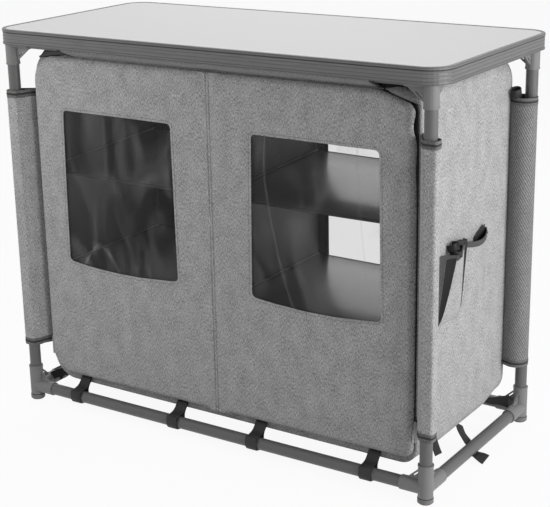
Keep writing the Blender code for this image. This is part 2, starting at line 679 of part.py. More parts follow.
def make_inside():
    """The divider with its front seam strip, and two shelves on each side of it."""
    low, high = CABINET_BOTTOM + PANEL + FIT, CABINET_TOP - PANEL - FIT
    neck_low = CABINET_BOTTOM + FRAME_STRIP + FIT
    neck_high = CABINET_TOP - FRAME_STRIP - FIT
    neck_front = DOOR_FACE_Y + PANEL / 2
    rear = WALL_REAR_Y
    outline = [(WALL_FRONT_Y, low), (rear, low), (rear, high), (WALL_FRONT_Y, high),
               (WALL_FRONT_Y, neck_high), (neck_front, neck_high), (neck_front, neck_low),
               (WALL_FRONT_Y, neck_low)]
    divider = meshed(flat_curve([outline], PANEL, "YZ", 0))
    half = SEAM_STRIP_WIDTH / 2
    strip = box((-half, DOOR_FACE_Y, DOOR_BOTTOM), (half, DOOR_FACE_Y + PANEL, DOOR_TOP))
    combine(divider, strip, "UNION", "seam_strip")
    as_part(divider, "divider", "lining")
    inner = PANEL / 2 + FIT
    outer = BODY_X - PANEL - SHELF_END_GAP
    for side, side_name in ((-1, "left"), (1, "right")):
        for share, level_name in zip(SHELF_SHARES, ("lower", "upper")):
            height = CABINET_BOTTOM + (CABINET_TOP - CABINET_BOTTOM) * share
            near, far = sorted((side * inner, side * outer))
            shelf = box((near, WALL_FRONT_Y + SHELF_FRONT_SETBACK, height - SHELF_THICKNESS),
                        (far, WALL_REAR_Y - FIT, height))
            as_part(shelf, "shelf_" + level_name + "_" + side_name, "lining")


def door_face(x, z, side):
    """How far forward the door's outer face is at a place: its crown, shallow folds and curled corner."""
    across = (np.abs(x) - HINGE_X) / (DOOR_HALF_WIDTH - HINGE_X)
    up = (z - DOOR_BOTTOM) / (DOOR_TOP - DOOR_BOTTOM)
    crown = DOOR_CROWN * np.sin(math.pi * np.clip(across, 0, 1)) * np.sin(math.pi * np.clip(up, 0, 1))
    fold = DOOR_FOLD_DEPTH * np.sin(math.pi * x / DOOR_FOLD_PITCH) ** 2
    fold = fold * smooth(across / FOLD_SEAM_SHARE) * smooth((1 - across) / FOLD_EDGE_SHARE)
    forward = crown + fold * smooth(up / FOLD_FOOT_SHARE) * smooth((1 - up) / FOLD_EDGE_SHARE)
    if side > 0:
        to_corner = np.hypot(np.abs(x) - DOOR_HALF_WIDTH, z - DOOR_TOP)
        forward = forward + CORNER_CURL * smooth(1 - to_corner / CORNER_CURL_REACH)
    return DOOR_FACE_Y - forward


def window_centre(side):
    """The middle of a door's window, along X."""
    return WINDOW_SHIFT + side * (HINGE_X + WINDOW_SEAM_MARGIN + WINDOW_WIDTH / 2)


def hang_window(x, z, side):
    """Spreads a window's points towards its lower edge and lets that edge sag in the middle."""
    across = (x - window_centre(side)) / WINDOW_WIDTH
    down = (WINDOW_TOP - z) / (WINDOW_TOP - WINDOW_BOTTOM)
    sag = WINDOW_SAG * np.cos(math.pi * np.clip(across, -0.5, 0.5)) * np.clip(down, 0, 1) ** 3
    return x + WINDOW_FLARE * across * down, z - sag


def window_outline(side, side_points):
    """A window's outline in its door, as X and Z."""
    left, right = window_centre(side) - WINDOW_WIDTH / 2, window_centre(side) + WINDOW_WIDTH / 2
    outline = rounded(left, right, WINDOW_BOTTOM, WINDOW_TOP, [WINDOW_RADIUS] * 4, side_points)
    return np.stack(hang_window(outline[:, 0], outline[:, 1], side), 1)


def door_outline(side, inset, side_points):
    """A door's outline as X and Z, moved in by an inset. Its corners are tight at the centre seam."""
    outer = FRONT_RADIUS_RIGHT if side > 0 else FRONT_RADIUS_LEFT
    outer = max(outer - inset, DOOR_SEAM_RADIUS)
    low, high = DOOR_BOTTOM + inset, DOOR_TOP - inset
    near, far = HINGE_X + inset, DOOR_HALF_WIDTH - inset
    seam = DOOR_SEAM_RADIUS
    if side > 0:
        return rounded(near, far, low, high, [seam, outer, outer, seam], side_points)
    return rounded(-far, -near, low, high, [outer, seam, seam, outer], side_points)


def make_doors():
    """Two cloth doors that wrap back at their zipped edges, each with a clear window film behind its cut-out."""
    side_points = 4
    for side, side_name in ((-1, "left"), (1, "right")):
        rings = []
        for angle in np.radians(DOOR_EDGE_ANGLES):
            outline = door_outline(side, DOOR_EDGE_RADIUS * (1 - math.cos(angle)), side_points)
            zipped = smooth((np.abs(outline[:, 0]) - HINGE_X - DOOR_EDGE_RADIUS) / DOOR_EDGE_RADIUS)
            face = door_face(outline[:, 0], outline[:, 1], side)
            back = zipped * DOOR_EDGE_RADIUS * (1 - math.sin(angle))
            rings.append(np.stack([outline[:, 0], face + back, outline[:, 1]], 1))
        flat, window = rings[-1][:, [0, 2]], window_outline(side, side_points)
        for share in DOOR_RING_SHARES:
            ring = flat + (window - flat) * share
            rings.append(np.stack([ring[:, 0], door_face(ring[:, 0], ring[:, 1], side), ring[:, 1]], 1))
        origin = (side * HINGE_X, DOOR_FACE_Y, 0)
        door = sheet("door_" + side_name, np.array(rings), PANEL, "cloth", True, origin)

        reach = WINDOW_WIDTH / 2 + WINDOW_LAP
        xs = window_centre(side) + np.linspace(-reach, reach, 7)
        zs = np.linspace(WINDOW_BOTTOM - WINDOW_LAP, WINDOW_TOP + WINDOW_LAP, 7)
        grid_z, grid_x = np.meshgrid(zs, xs, indexing="ij")
        grid_x, grid_z = hang_window(grid_x, grid_z, side)
        depth = door_face(grid_x, grid_z, side) + PANEL + WINDOW_GAP
        points = np.stack([grid_x, depth, grid_z], -1)
        film = sheet("window_" + side_name, points, FILM, "film", False, origin)
        film.parent = door
        film.location = (0, 0, 0)


def make_zips():
    """The zip chain round both doors, and a slider with a cord pull at each side."""
    inset = ZIP_INSET
    radii = [FRONT_RADIUS_LEFT, FRONT_RADIUS_RIGHT, FRONT_RADIUS_RIGHT, FRONT_RADIUS_LEFT]
    outline = rounded(inset - DOOR_HALF_WIDTH, DOOR_HALF_WIDTH - inset, DOOR_BOTTOM + inset,
                      DOOR_TOP - inset, [radius - inset for radius in radii])
    as_part(cord_loop([(x, ZIP_Y, z) for x, z in outline], ZIP_RADIUS), "zip_chain", "zip")
    for side, side_name in ((-1, "left"), (1, "right")):
        centre_x = side * (DOOR_HALF_WIDTH + SLIDER_SIDE_GAP + SLIDER_WIDTH / 2)
        rear = ZIP_Y - ZIP_RADIUS + SLIDER_REAR_REACH
        centre = np.array([centre_x, rear - SLIDER_DEPTH / 2, CABINET_BOTTOM + SLIDER_REST_RISE])
        half = np.array([SLIDER_WIDTH, SLIDER_DEPTH, SLIDER_HEIGHT]) / 2
        slider = as_part(box(centre - half, centre + half), "zip_slider_" + side_name, "zip")
        bevel = slider.modifiers.new("edges", "BEVEL")
        bevel.width = SLIDER_BEVEL
        bevel.segments = 1
        bend = PULL_WIDTH / 2 - PULL_CORD_RADIUS
        high = PULL_TOP_SHARE * SLIDER_HEIGHT - bend
        low = PULL_TOP_SHARE * SLIDER_HEIGHT - PULL_LENGTH + bend
        path = np.concatenate([arc((0, low), bend, math.pi, 2 * math.pi, 2 * ARC_POINTS),
                               arc((0, high), bend, 0, math.pi, 2 * ARC_POINTS)])
        front = -SLIDER_DEPTH / 2 - FIT - PULL_CORD_RADIUS
        pull = as_part(cord_loop([(x, front, z) for x, z in path], PULL_CORD_RADIUS),
                       "zip_pull_" + side_name, "cloth")
        pull.parent = slider


def cord_loop(points, radius):
    """A closed round cord through the points."""
    curve = bpy.data.curves.new("cord", "CURVE")
    curve.dimensions = "3D"
    curve.bevel_depth = radius
    curve.bevel_resolution = 1
    spline = curve.splines.new("POLY")
    spline.points.add(len(points) - 1)
    for point, place_at in zip(spline.points, points):
        point.co = (*place_at, 1)
    spline.use_cyclic_u = True
    return bpy.data.objects.new("cord", curve)


def make_hangers():
    """Cloth wraps round the top rails, sleeves round the legs, and webbing loops round the bottom rails."""
    seam_z = DOOR_TOP + WRAP_HEM_RADIUS + WRAP_SEAM_LIFT
    for side, name, seam_y in ((-1, "rail_wrap_front", FRAME_Y - PANEL / 2 - FIT - WRAP_HEM_RADIUS),
                               (1, "rail_wrap_rear", CABINET_REAR_Y + FIT + WRAP_HEM_RADIUS)):
        web_loop(name, (seam_y, seam_z), (side * LEG_Y, TOP_RAIL_HEIGHT), WRAP_RADIUS,
                 SLEEVE_CLOTH, WRAP_LENGTH, "YZ", 0, "cloth")
    outer = BORE_RADIUS + SLEEVE_SLACK + SLEEVE_CLOTH
    height = SLEEVE_TOP - SLEEVE_BOTTOM
    for side_x, name_x in ((-1, "left"), (1, "right")):
        for end_y, side_y, name_y in ((WALL_FRONT_Y, -1, "front"), (WALL_REAR_Y, 1, "rear")):
            seam = (side_x * (BODY_X + FIT + WRAP_HEM_RADIUS), end_y - side_y * SLEEVE_SEAM_SETBACK)
            web_loop("leg_sleeve_" + name_y + "_" + name_x, seam, (side_x * LEG_X, side_y * LEG_Y),
                     outer, SLEEVE_CLOTH, height, "XY", (SLEEVE_TOP + SLEEVE_BOTTOM) / 2, "cloth")
    outer = BORE_RADIUS + WEBBING
    seam = (FRAME_Y - PANEL / 2 - FIT - WRAP_HEM_RADIUS, CABINET_BOTTOM + FRONT_STRAP_LIFT)
    for number, share in enumerate(FRONT_STRAP_SHARES, 1):
        web_loop("front_strap_%d" % number, seam, (-LEG_Y, BOTTOM_RAIL_HEIGHT), outer, WEBBING,
                 STRAP_WIDTH, "YZ", share * BODY_X, "webbing")
    seam = (WRAP_HEM_RADIUS + SIDE_STRAP_INSET - BODY_X, CABINET_BOTTOM - FIT - WRAP_HEM_RADIUS)
    strap_y = SOCKET_REACH_Y + LEFT_STRAP_GAP + STRAP_WIDTH / 2 - LEG_Y
    web_loop("side_strap_left", seam, (-LEG_X, BOTTOM_RAIL_HEIGHT), outer, WEBBING, STRAP_WIDTH,
             "XZ", strap_y, "webbing")


def ribbon(name, path, shift, y):
    """A strap of webbing along a path of X and Z; shift moves each point of it along Y."""
    path = np.array(path)
    half = STRAP_WIDTH / 2
    edges = [np.stack([path[:, 0], y + shift + side, path[:, 1]], 1) for side in (-half, half)]
    return sheet(name, np.stack(edges, 1), WEBBING, "webbing")


def make_loose_straps():
    """The right side's straps: one passes under its rail and ends in a tail, one hangs free."""
    top_x, top_z = BODY_X - SIDE_STRAP_INSET, CABINET_BOTTOM - FIT - WEBBING
    radius = BORE_RADIUS + WEBBING
    under = arc((LEG_X, BOTTOM_RAIL_HEIGHT), radius, *np.radians(MIDDLE_STRAP_ANGLES), 6)
    tail_end = np.array([under[-1, 0] + MIDDLE_STRAP_TAIL, under[-1, 1] - MIDDLE_STRAP_TAIL_DROP])
    tail = under[-1] + (tail_end - under[-1]) * np.linspace(0, 1, 4)[1:, None]
    path = np.concatenate([[(top_x, top_z)], under, tail])
    slant = smooth((path[:, 0] - top_x) / (LEG_X - top_x))
    ribbon("side_strap_right_middle", path, -MIDDLE_STRAP_SLANT * slant, MIDDLE_STRAP_Y)
    shares = np.linspace(0, 1, 5)
    drop = FREE_STRAP_DROP * np.sin(FREE_STRAP_BEND * shares)
    path = np.stack([top_x + FREE_STRAP_REACH * shares, top_z - drop], 1)
    ribbon("side_strap_right_front", path, np.zeros(len(path)), FREE_STRAP_Y)


def make_pocket():
    """The utensil pockets: one cloth panel whose three pleats stand proud at the mouth and run out below."""
    shares = np.linspace(0, 1, 9)
    columns = []
    for start, end, bulge in zip(POCKET_SEAMS_Y[:-1], POCKET_SEAMS_Y[1:], POCKET_BULGES):
        last = end == POCKET_SEAMS_Y[-1]
        for share in shares if last else shares[:-1]:
            proud = bulge * math.sin(math.pi * share) ** POCKET_ROUND_POWER
            columns.append((start + (end - start) * share, proud, share))
    rows = np.linspace(0, 1, 6)
    depth_share = [(y - WALL_FRONT_Y) / (WALL_REAR_Y - WALL_FRONT_Y) for y, _, _ in columns]
    points = np.zeros((len(rows), len(columns), 3))
    for j, (y, bulge, share) in enumerate(columns):
        top = POCKET_TOP - POCKET_MOUTH_SAG * math.sin(math.pi * share)
        z = POCKET_BOTTOM + (top - POCKET_BOTTOM) * rows
        wall = WALL_BULGE * math.sin(math.pi * depth_share[j]) ** 2
        base = BODY_X + wall + FIT + POCKET_CLOTH
        points[:, j] = np.stack([base + bulge * rows ** POCKET_TAPER_POWER, np.full_like(z, y), z], 1)
    sheet("side_pocket", points, POCKET_CLOTH, "cloth")


clear_scene()
make_worktop()
make_frame()
make_shell()
make_ends()
make_inside()
make_doors()
make_zips()
make_hangers()
make_loose_straps()
make_pocket()
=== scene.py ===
# %% [markdown]
# # A fabric camp kitchen cupboard
#
# A frame of grey tubes in plastic corners carries a pale worktop with a ribbed metal edge. A cabinet sewn
# from heather polyester hangs inside the frame: two doors with clear windows, four shelves, utensil
# pockets on the right side, and black webbing that ties it to the lower rails.
#
# The construction comes packed, at its real size. This script keeps its hard parts and gives them their
# finish. Everything sewn is built again with folds, hems, bindings and stitches.

# %% Load the construction
import math

import bmesh
import bpy
import numpy as np
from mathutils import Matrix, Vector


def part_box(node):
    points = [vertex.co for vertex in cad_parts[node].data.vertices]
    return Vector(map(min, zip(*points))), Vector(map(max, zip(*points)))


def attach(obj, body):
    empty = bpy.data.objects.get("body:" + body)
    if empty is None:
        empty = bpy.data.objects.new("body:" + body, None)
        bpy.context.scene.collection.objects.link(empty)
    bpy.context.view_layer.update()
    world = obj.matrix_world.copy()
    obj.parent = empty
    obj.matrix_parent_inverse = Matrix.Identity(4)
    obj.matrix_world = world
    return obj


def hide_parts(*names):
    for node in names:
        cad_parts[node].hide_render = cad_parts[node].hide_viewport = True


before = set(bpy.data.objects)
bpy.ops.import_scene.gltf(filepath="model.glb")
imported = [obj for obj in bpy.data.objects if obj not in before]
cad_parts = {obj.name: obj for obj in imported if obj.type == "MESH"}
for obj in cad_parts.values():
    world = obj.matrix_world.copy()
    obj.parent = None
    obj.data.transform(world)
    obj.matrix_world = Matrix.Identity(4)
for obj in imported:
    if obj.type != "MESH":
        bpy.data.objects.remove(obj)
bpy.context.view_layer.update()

MM = 0.001

# %% [markdown]
# ## The camera
#
# The photograph was taken from the right of the doors, a little above the worktop, with a long lens. The
# angles and the distance were fitted to the legs, the rails and the worktop's edges. A camera or a lamp is
# an object, so it is placed by a matrix whose columns are its right, its up, its back and its place.

# %% Aim the camera
IMAGE_WIDTH, SENSOR_WIDTH = 550, 36
FOCAL_PIXELS = 1399.55
AZIMUTH, ELEVATION, ROLL = np.radians([33.424, 17.582, -1.099])
DISTANCE = 2.8489
TARGET = np.array([0.0141, 0, 0.3455])


def unit(vectors):
    """Vectors of length 1."""
    return vectors / np.maximum(np.linalg.norm(vectors, axis=-1, keepdims=True), 1e-12)


def show(name, data):
    """A new object, linked to the scene."""
    made = bpy.data.objects.new(name, data)
    bpy.context.scene.collection.objects.link(made)
    return made


def place_by(thing, axes, place):
    """Places an object by a matrix: right, up and back are its columns, and then the place."""
    matrix = np.eye(4)
    matrix[:3] = np.stack([*axes, place], 1)
    thing.matrix_world = matrix.T.tolist()


def camera_axes():
    """Right, up and back: the turntable's axes, then both side axes rolled about the line of sight."""
    flat = np.cos(ELEVATION)
    back = np.array([np.sin(AZIMUTH) * flat, -np.cos(AZIMUTH) * flat, np.sin(ELEVATION)])
    right = np.array([np.cos(AZIMUTH), np.sin(AZIMUTH), 0])
    up = np.cross(back, right)
    return np.cos(ROLL) * right + np.sin(ROLL) * up, np.cos(ROLL) * up - np.sin(ROLL) * right, back


camera = show("camera", bpy.data.cameras.new("camera"))
camera.data.sensor_width = SENSOR_WIDTH
camera.data.lens = FOCAL_PIXELS / IMAGE_WIDTH * SENSOR_WIDTH
eye = TARGET + camera_axes()[2] * DISTANCE
place_by(camera, camera_axes(), eye)
bpy.context.scene.camera = camera
bpy.context.scene.view_settings.view_transform = "Standard"
print("camera at", np.round(eye, 3).tolist(), "lens", round(camera.data.lens, 1), "mm")

# %% [markdown]
# ## Nodes and colours
#
# Every finish below is a small network of nodes. One function adds a node: its plain settings come by
# name, and its sockets take a value or another node's output. Colours are written as they look on a
# screen, so one function turns a hex code into the linear light that a shader works in. The other helpers
# make the steps that most finishes share: noise, waves, a mix, two shades and a relief.


# %% Helpers for finishes
def colour(code):
    """A hex code as linear light: each channel c becomes ((c + 0.055) / 1.055) to the power 2.4."""
    channels = np.array([int(code[k:k + 2], 16) for k in (1, 3, 5)]) / 255
    linear = np.where(channels <= 0.04045, channels / 12.92, ((channels + 0.055) / 1.055) ** 2.4)
    return (*linear.tolist(), 1.0)


def add(tree, kind, sockets=None, **settings):
    """Adds a node, applies its settings, and fills its sockets with values or with other nodes' outputs."""
    made = tree.nodes.new(kind)
    for name, value in settings.items():
        setattr(made, name, value)
    for name, value in (sockets or {}).items():
        if isinstance(value, bpy.types.NodeSocket):
            tree.links.new(value, made.inputs[name])
        else:
            made.inputs[name].default_value = value
    return made


def new_finish(name, **levels):
    """An empty material as (material, tree, shader), with plain levels on the shader's sockets."""
    material = bpy.data.materials.new(name)
    material.use_nodes = True
    tree = material.node_tree
    shader = tree.nodes["Principled BSDF"]
    for socket, level in levels.items():
        shader.inputs[socket.replace("_", " ")].default_value = level
    return material, tree, shader


def noise(tree, place, detail, **more):
    """Noise over a place that is already scaled to the pattern."""
    return add(tree, "ShaderNodeTexNoise", {"Vector": place, "Scale": 1.0, "Detail": detail, **more}).outputs[0]


def waves(tree, place, along="X", **more):
    """A sine along one axis of a place that is already scaled."""
    sockets = {"Vector": place, "Scale": 0.5, **more}
    return add(tree, "ShaderNodeTexWave", sockets, bands_direction=along).outputs["Fac"]


def mix(tree, share, first, second):
    """A share of the second value with the rest of the first."""
    return add(tree, "ShaderNodeMix", {"Factor": share, "A": first, "B": second}).outputs[0]


def compute(tree, operation, *values):
    """One step of arithmetic."""
    return add(tree, "ShaderNodeMath", dict(enumerate(values)), operation=operation).outputs[0]


def spread(tree, value, low, high, start=0.0, end=1.0):
    """Maps start to low and end to high, and clamps what lies beyond."""
    return add(tree, "ShaderNodeMapRange", {"Value": value, "From Min": start, "From Max": end,
                                            "To Min": low, "To Max": high}).outputs[0]


def paint(tree, shader, value, shades, stops):
    """Colours the shader: the first shade below one stop, the second above the other."""
    ramp = add(tree, "ShaderNodeValToRGB", {"Fac": value})
    for element, stop, shade in zip(ramp.color_ramp.elements, stops, shades):
        element.position, element.color = stop, colour(shade)
    tree.links.new(ramp.outputs["Color"], shader.inputs["Base Color"])


def tint(tree, shader, operation, sockets):
    """Scales or multiplies the colour that the shader already takes."""
    base = shader.inputs["Base Color"].links[0].from_socket
    both = add(tree, "ShaderNodeVectorMath", {0: base, **sockets}, operation=operation)
    tree.links.new(both.outputs[0], shader.inputs["Base Color"])


def relief(tree, shader, height, strength, depth, **under):
    """A bump of a depth in millimetres on the shader's normal, over another one where that is given."""
    sockets = {"Strength": strength, "Distance": depth * MM, "Height": height, **under}
    bump = add(tree, "ShaderNodeBump", sockets)
    tree.links.new(bump.outputs[0], shader.inputs["Normal"])
    return bump.outputs[0]


# %% [markdown]
# ## Light and ground
#
# The object stands in soft white studio light. The side with the pockets is about twice as bright as the
# doors, so one large panel of light stands to the right. A small one brightens the top of the left door,
# and one behind lights the worktop and, through the rear openings, the shelves. The world fills the rest.
# Rays that come straight from the camera, or off gloss and film, see plain white, and the floor keeps a
# faint shadow.

# %% Build the studio
WORLD_LEVEL, FLOOR_GLOW, FLOOR_HALF = 0.23, 0.93, 14.0
# Each panel has its place, the point it faces, width, height, watts, and whether gloss mirrors it.
PANELS = {"key": ((2.9, -0.3, 1.25), (0, 0, 0.4), 1.9, 1.7, 69, True),
          "front": ((-0.95, -0.95, 1.0), (-0.25, -0.2, 0.7), 0.7, 0.5, 6.6, False),
          "back": ((-1.1, 1.9, 2.6), (0, 0, 0.8), 1.6, 1.2, 30, True)}


def seen_directly(tree):
    """1 for camera, glossy and transmission rays: the largest of the three ray tests."""
    path = add(tree, "ShaderNodeLightPath").outputs
    pair = compute(tree, "MAXIMUM", path["Is Camera Ray"], path["Is Glossy Ray"])
    return compute(tree, "MAXIMUM", pair, path["Is Transmission Ray"])


def light_panel(name, place, aim, width, height, watts, mirrored):
    """A rectangular lamp at a place, facing a point, which the camera doesn't see."""
    lamp = bpy.data.lights.new(name, "AREA")
    lamp.shape = "RECTANGLE"
    lamp.size, lamp.size_y, lamp.energy = width, height, watts
    panel = show(name, lamp)
    back = unit(np.array(place, float) - np.array(aim, float))
    right = unit(np.cross([0, 0, 1], back))
    place_by(panel, (right, np.cross(back, right), back), place)
    panel.visible_camera, panel.visible_glossy = False, mirrored


for name, panel in PANELS.items():
    light_panel(name, *panel)
world = bpy.data.worlds.new("studio")
world.use_nodes = True
bpy.context.scene.world = world
air, background = world.node_tree, world.node_tree.nodes["Background"]
air.links.new(spread(air, seen_directly(air), WORLD_LEVEL, 1.0), background.inputs["Strength"])
background.inputs["Color"].default_value = (1, 1, 1, 1)

floor_mesh = bpy.data.meshes.new("floor")
floor_corners = FLOOR_HALF * np.array([(-1, -1, 0), (1, -1, 0), (1, 1, 0), (-1, 1, 0)])
floor_mesh.from_pydata(floor_corners.tolist(), [], [(0, 1, 2, 3)])
floor = show("floor", floor_mesh)
paper, tree, shader = new_finish("white paper sweep", Base_Color=colour("#f4f4f4"), Roughness=0.9)
glow = add(tree, "ShaderNodeEmission", {"Color": (1, 1, 1, 1), "Strength": 1.0})
share = compute(tree, "MULTIPLY", seen_directly(tree), FLOOR_GLOW)
both = add(tree, "ShaderNodeMixShader", {0: share, 1: shader.outputs[0], 2: glow.outputs[0]})
tree.links.new(both.outputs[0], tree.nodes["Material Output"].inputs["Surface"])
floor_mesh.materials.append(paper)
print("studio: world", WORLD_LEVEL, "and panels", list(PANELS))

# %% [markdown]
# ## Cloth finishes
#
# The outside is heather polyester: grey yarns of mixed shades in a plain weave. The eye sees short
# slubs, upright in one yarn and level in the other, over soft clouds, and slow creases that run down
# the cloth. The pattern is read from the cloth's own flat place in metres, kept as its UV map, so it
# follows every fold. Threads are half a millimetre apart, which the render can't show, so the slubs and
# the thread grid are drawn coarser than they are.
#
# The sleeve on the rear right leg is cut on the bias, so its weave shows as slanting lines, and its yarn
# tones are drawn darker as painted shade. The inside is a dark coated lining, a tight weave with a slight
# gloss. Webbing has cross ribs and tape fine ones.


# %% Heather polyester
def flat_place(tree, scale, turn=0.0):
    """The cloth's flat place, scaled to a pattern's size per metre and turned in its plane."""
    place = add(tree, "ShaderNodeUVMap", uv_map="cloth")
    return add(tree, "ShaderNodeMapping", {"Vector": place.outputs[0], "Scale": scale,
                                           "Rotation": (0, 0, turn)}).outputs[0]


SLUB_WIDTH, SLUB_LENGTH = 1.3 * MM, 5 * MM
PICK_WIDTH, PICK_LENGTH = 1.1 * MM, 4.5 * MM
CLOUD, CREASE, THREAD = 26 * MM, 15 * MM, 1.1 * MM
BIAS_PITCH, BIAS_TURN = 4.4 * MM, math.radians(-30)


def heather(name, dark, light):
    """Woven polyester: slubs and clouds mix two yarn shades, and the thread grid gives the relief."""
    material, tree, shader = new_finish(name, Roughness=0.88, Sheen_Weight=0.12, Specular_IOR_Level=0.25)
    slubs = noise(tree, flat_place(tree, (1 / SLUB_WIDTH, 1 / SLUB_LENGTH, 1)), 1.5, Roughness=0.6)
    picks = noise(tree, flat_place(tree, (1 / PICK_LENGTH, 1 / PICK_WIDTH, 1)), 1.5, Roughness=0.6)
    clouds = noise(tree, flat_place(tree, (1 / CLOUD, 1 / (1.6 * CLOUD), 1)), 1.0, Roughness=0.5)
    mixed = mix(tree, 0.1, mix(tree, 0.42, slubs, picks), clouds)
    paint(tree, shader, mixed, (dark, light), (0.38, 0.62))
    warp = waves(tree, flat_place(tree, (1 / THREAD, 0, 0)))
    weft = waves(tree, flat_place(tree, (0, 1 / THREAD, 0)), "Y")
    height = mix(tree, 0.6, compute(tree, "MULTIPLY", warp, weft), mixed)
    creases = noise(tree, flat_place(tree, (1 / CREASE, 1 / (7 * CREASE), 1)), 1.0, Distortion=0.4)
    relief(tree, shader, height, 0.5, 0.3, Normal=relief(tree, shader, creases, 0.6, 1.2))
    return material


def bias(name, dark, light):
    """The heather with slanting bands: a sine along the turned flat place."""
    material = heather(name, dark, light)
    tree = material.node_tree
    place = flat_place(tree, (1 / BIAS_PITCH, 1 / BIAS_PITCH, 0), BIAS_TURN)
    bands = waves(tree, place, Scale=0.32, Distortion=0.35, Detail=2.0)
    tint(tree, tree.nodes["Principled BSDF"], "SCALE", {"Scale": spread(tree, bands, 0.52, 1.08)})
    return material


heather_cloth = heather("heather polyester, woven", "#707070", "#c6c6c6")  # pale and dark yarns: speckled
hem_cloth = heather("heather polyester, hemmed double", "#565656", "#808080")  # no light through: darker, even
shaded_heather_cloth = heather("heather polyester, painted shade", "#5a5a5a", "#a0a0a0")  # darker than the woven cloth: painted shade under the worktop and at the door's corner
painted_fold_shade_cloth = heather("heather polyester, painted fold shade", "#363636", "#5e5e5e")  # painted shade where the first pocket's cloth turns into the fold
shaded_bias_cloth = bias("heather polyester, cut on the bias, painted shade", "#6a6a6a", "#9e9e9e")  # yarns run slanting as bands, and darker tones are painted shade


# %% Coated lining, webbing and tape
# Fibres and lining threads in a metre. The lining's are drawn coarser than they are.
FIBRES, LINING_THREADS = 2600, 900


def woven_tape(name, dark, light, pitch, roughness):
    """Cross ribs: a sine along the tape darkens and lowers the gaps between them, under fine fibres."""
    material, tree, shader = new_finish(name, Roughness=roughness)
    ribs = waves(tree, flat_place(tree, (0, 1 / pitch, 0)), "Y", Distortion=0.4)
    mixed = mix(tree, 0.35, ribs, noise(tree, flat_place(tree, (FIBRES, FIBRES, 1)), 2.0))
    paint(tree, shader, mixed, (dark, light), (0.15, 0.85))
    relief(tree, shader, mixed, 0.4, 0.4)
    return material


def coated_lining(name, dark, light, roughness, coat):
    """A tight weave under a thin coating: soft clouds of shade, a fine grid and a slight gloss."""
    material, tree, shader = new_finish(name, Roughness=roughness, Coat_Weight=coat, Coat_Roughness=0.22)
    clouds = noise(tree, flat_place(tree, (1 / (70 * MM), 1 / (50 * MM), 1)), 2.0)
    mixed = mix(tree, 0.15, clouds, noise(tree, flat_place(tree, (LINING_THREADS, LINING_THREADS, 1)), 1.0))
    paint(tree, shader, mixed, (dark, light), (0.3, 0.7))
    relief(tree, shader, clouds, 0.5, 1.0)
    return material


black_cloth_and_painted_shade = coated_lining("black cloth, and painted shade in gaps", "#0c0c0c", "#161616", 0.7, 0.0)  # black zip tape, and painted shade in gaps that read as black
gusset_lining_and_shade = coated_lining("polyester lining, pleated, with painted shade", "#0b0b0b", "#181818", 0.8, 0.0)  # near black: dark lining with painted shade of the deep pleat and the slit
lining = coated_lining("polyester lining, coated", "#303030", "#444444", 0.5, 0.0)  # dark, with a soft shine
shelf_lining = coated_lining("polyester lining over board", "#474747", "#5a5a5a", 0.36, 0.7)  # flat: shiny
webbing = woven_tape("polypropylene webbing, woven", "#0b0b0b", "#262626", 1.8 * MM, 0.62)  # ribs catch light
shaded_webbing = woven_tape("polypropylene webbing, black, in painted shade", "#060606", "#101010", 1.8 * MM, 0.8)  # a darker copy of the webbing: painted shade, nearly matt
binding = woven_tape("binding tape, woven", "#181818", "#333333", 1.2 * MM, 0.75)  # fine ribs: a dull dark line
cord = woven_tape("polyester cord, braided", "#8c8c8c", "#d2d2d2", 1.6 * MM, 0.7)  # a pale dotted line
mouth_tape = woven_tape("elastic tape, woven", "#343434", "#525252", 1.2 * MM, 0.8)  # softer grey than binding
thread = woven_tape("sewing thread, spun", "#3a3a3a", "#5c5c5c", 0.8 * MM, 0.6)  # dark dots on the pale cloth

# %% [markdown]
# ## Hard finishes
#
# The board is a melamine laminate: a pale grey paper under clear resin, with a faint speckle. Its edge is
# an aluminium extrusion, satin anodised, so fine die lines run along it. The tubes are steel with a dark
# grey powder coat, which has a slight orange peel. The corners and feet are moulded polypropylene.


# %% Finishes for the frame
def mottled(name, dark, light, grain, roughness, metallic, peel, stretch=(1, 1, 1)):
    """A hard finish: noise of one grain size mixes two shades, varies the gloss and gives the relief."""
    material, tree, shader = new_finish(name, Metallic=metallic)
    place = add(tree, "ShaderNodeMapping", {"Vector": add(tree, "ShaderNodeTexCoord").outputs["Object"],
                                            "Scale": tuple(axis / grain for axis in stretch)})
    grains = noise(tree, place.outputs[0], 3.0)
    paint(tree, shader, grains, (dark, light), (0.3, 0.7))
    tree.links.new(spread(tree, grains, roughness - 0.05, roughness + 0.05), shader.inputs["Roughness"])
    relief(tree, shader, grains, peel, 0.2)
    return material


laminate = mottled("melamine laminate, matt", "#e7e7e7", "#eeeeee", 1.5 * MM, 0.6, 0.0, 0.05)  # pale, even
extrusion = mottled("aluminium extrusion, anodised", "#646464", "#767676", 0.7 * MM, 0.52, 0.25, 0.25,
                    (0.02, 0.02, 1))  # the noise is drawn out along the edge, so it shows as die lines
powder = mottled("steel tube, powder coated", "#585858", "#646464", 1.2 * MM, 0.40, 0.0, 0.25)  # soft streaks
moulding = mottled("polypropylene, moulded", "#727272", "#7e7e7e", 0.9 * MM, 0.48, 0.0, 0.3)  # satin, paler
rubbery = mottled("polypropylene, moulded soft", "#6c6c6c", "#7a7a7a", 0.8 * MM, 0.6, 0.0, 0.35)  # duller
zinc = mottled("zinc alloy, black lacquer", "#1c1c1c", "#2e2e2e", 0.5 * MM, 0.35, 0.5, 0.2)  # small highlights

# Each groove of painted shade starts and ends so many millimetres below the top, and keeps so much of the
# light.
EDGE_GROOVES = ((1.6, 2.6, 0.62), (5.0, 7.4, 0.30), (11.4, 12.6, 0.62), (18.0, 19.2, 0.62), (24.6, 26.0, 0.55),
                (28.6, 30.6, 0.66))
EDGE_DEPTH, GROOVE_SOFT, GROOVE_BLUR = 32, 0.3, 0.006


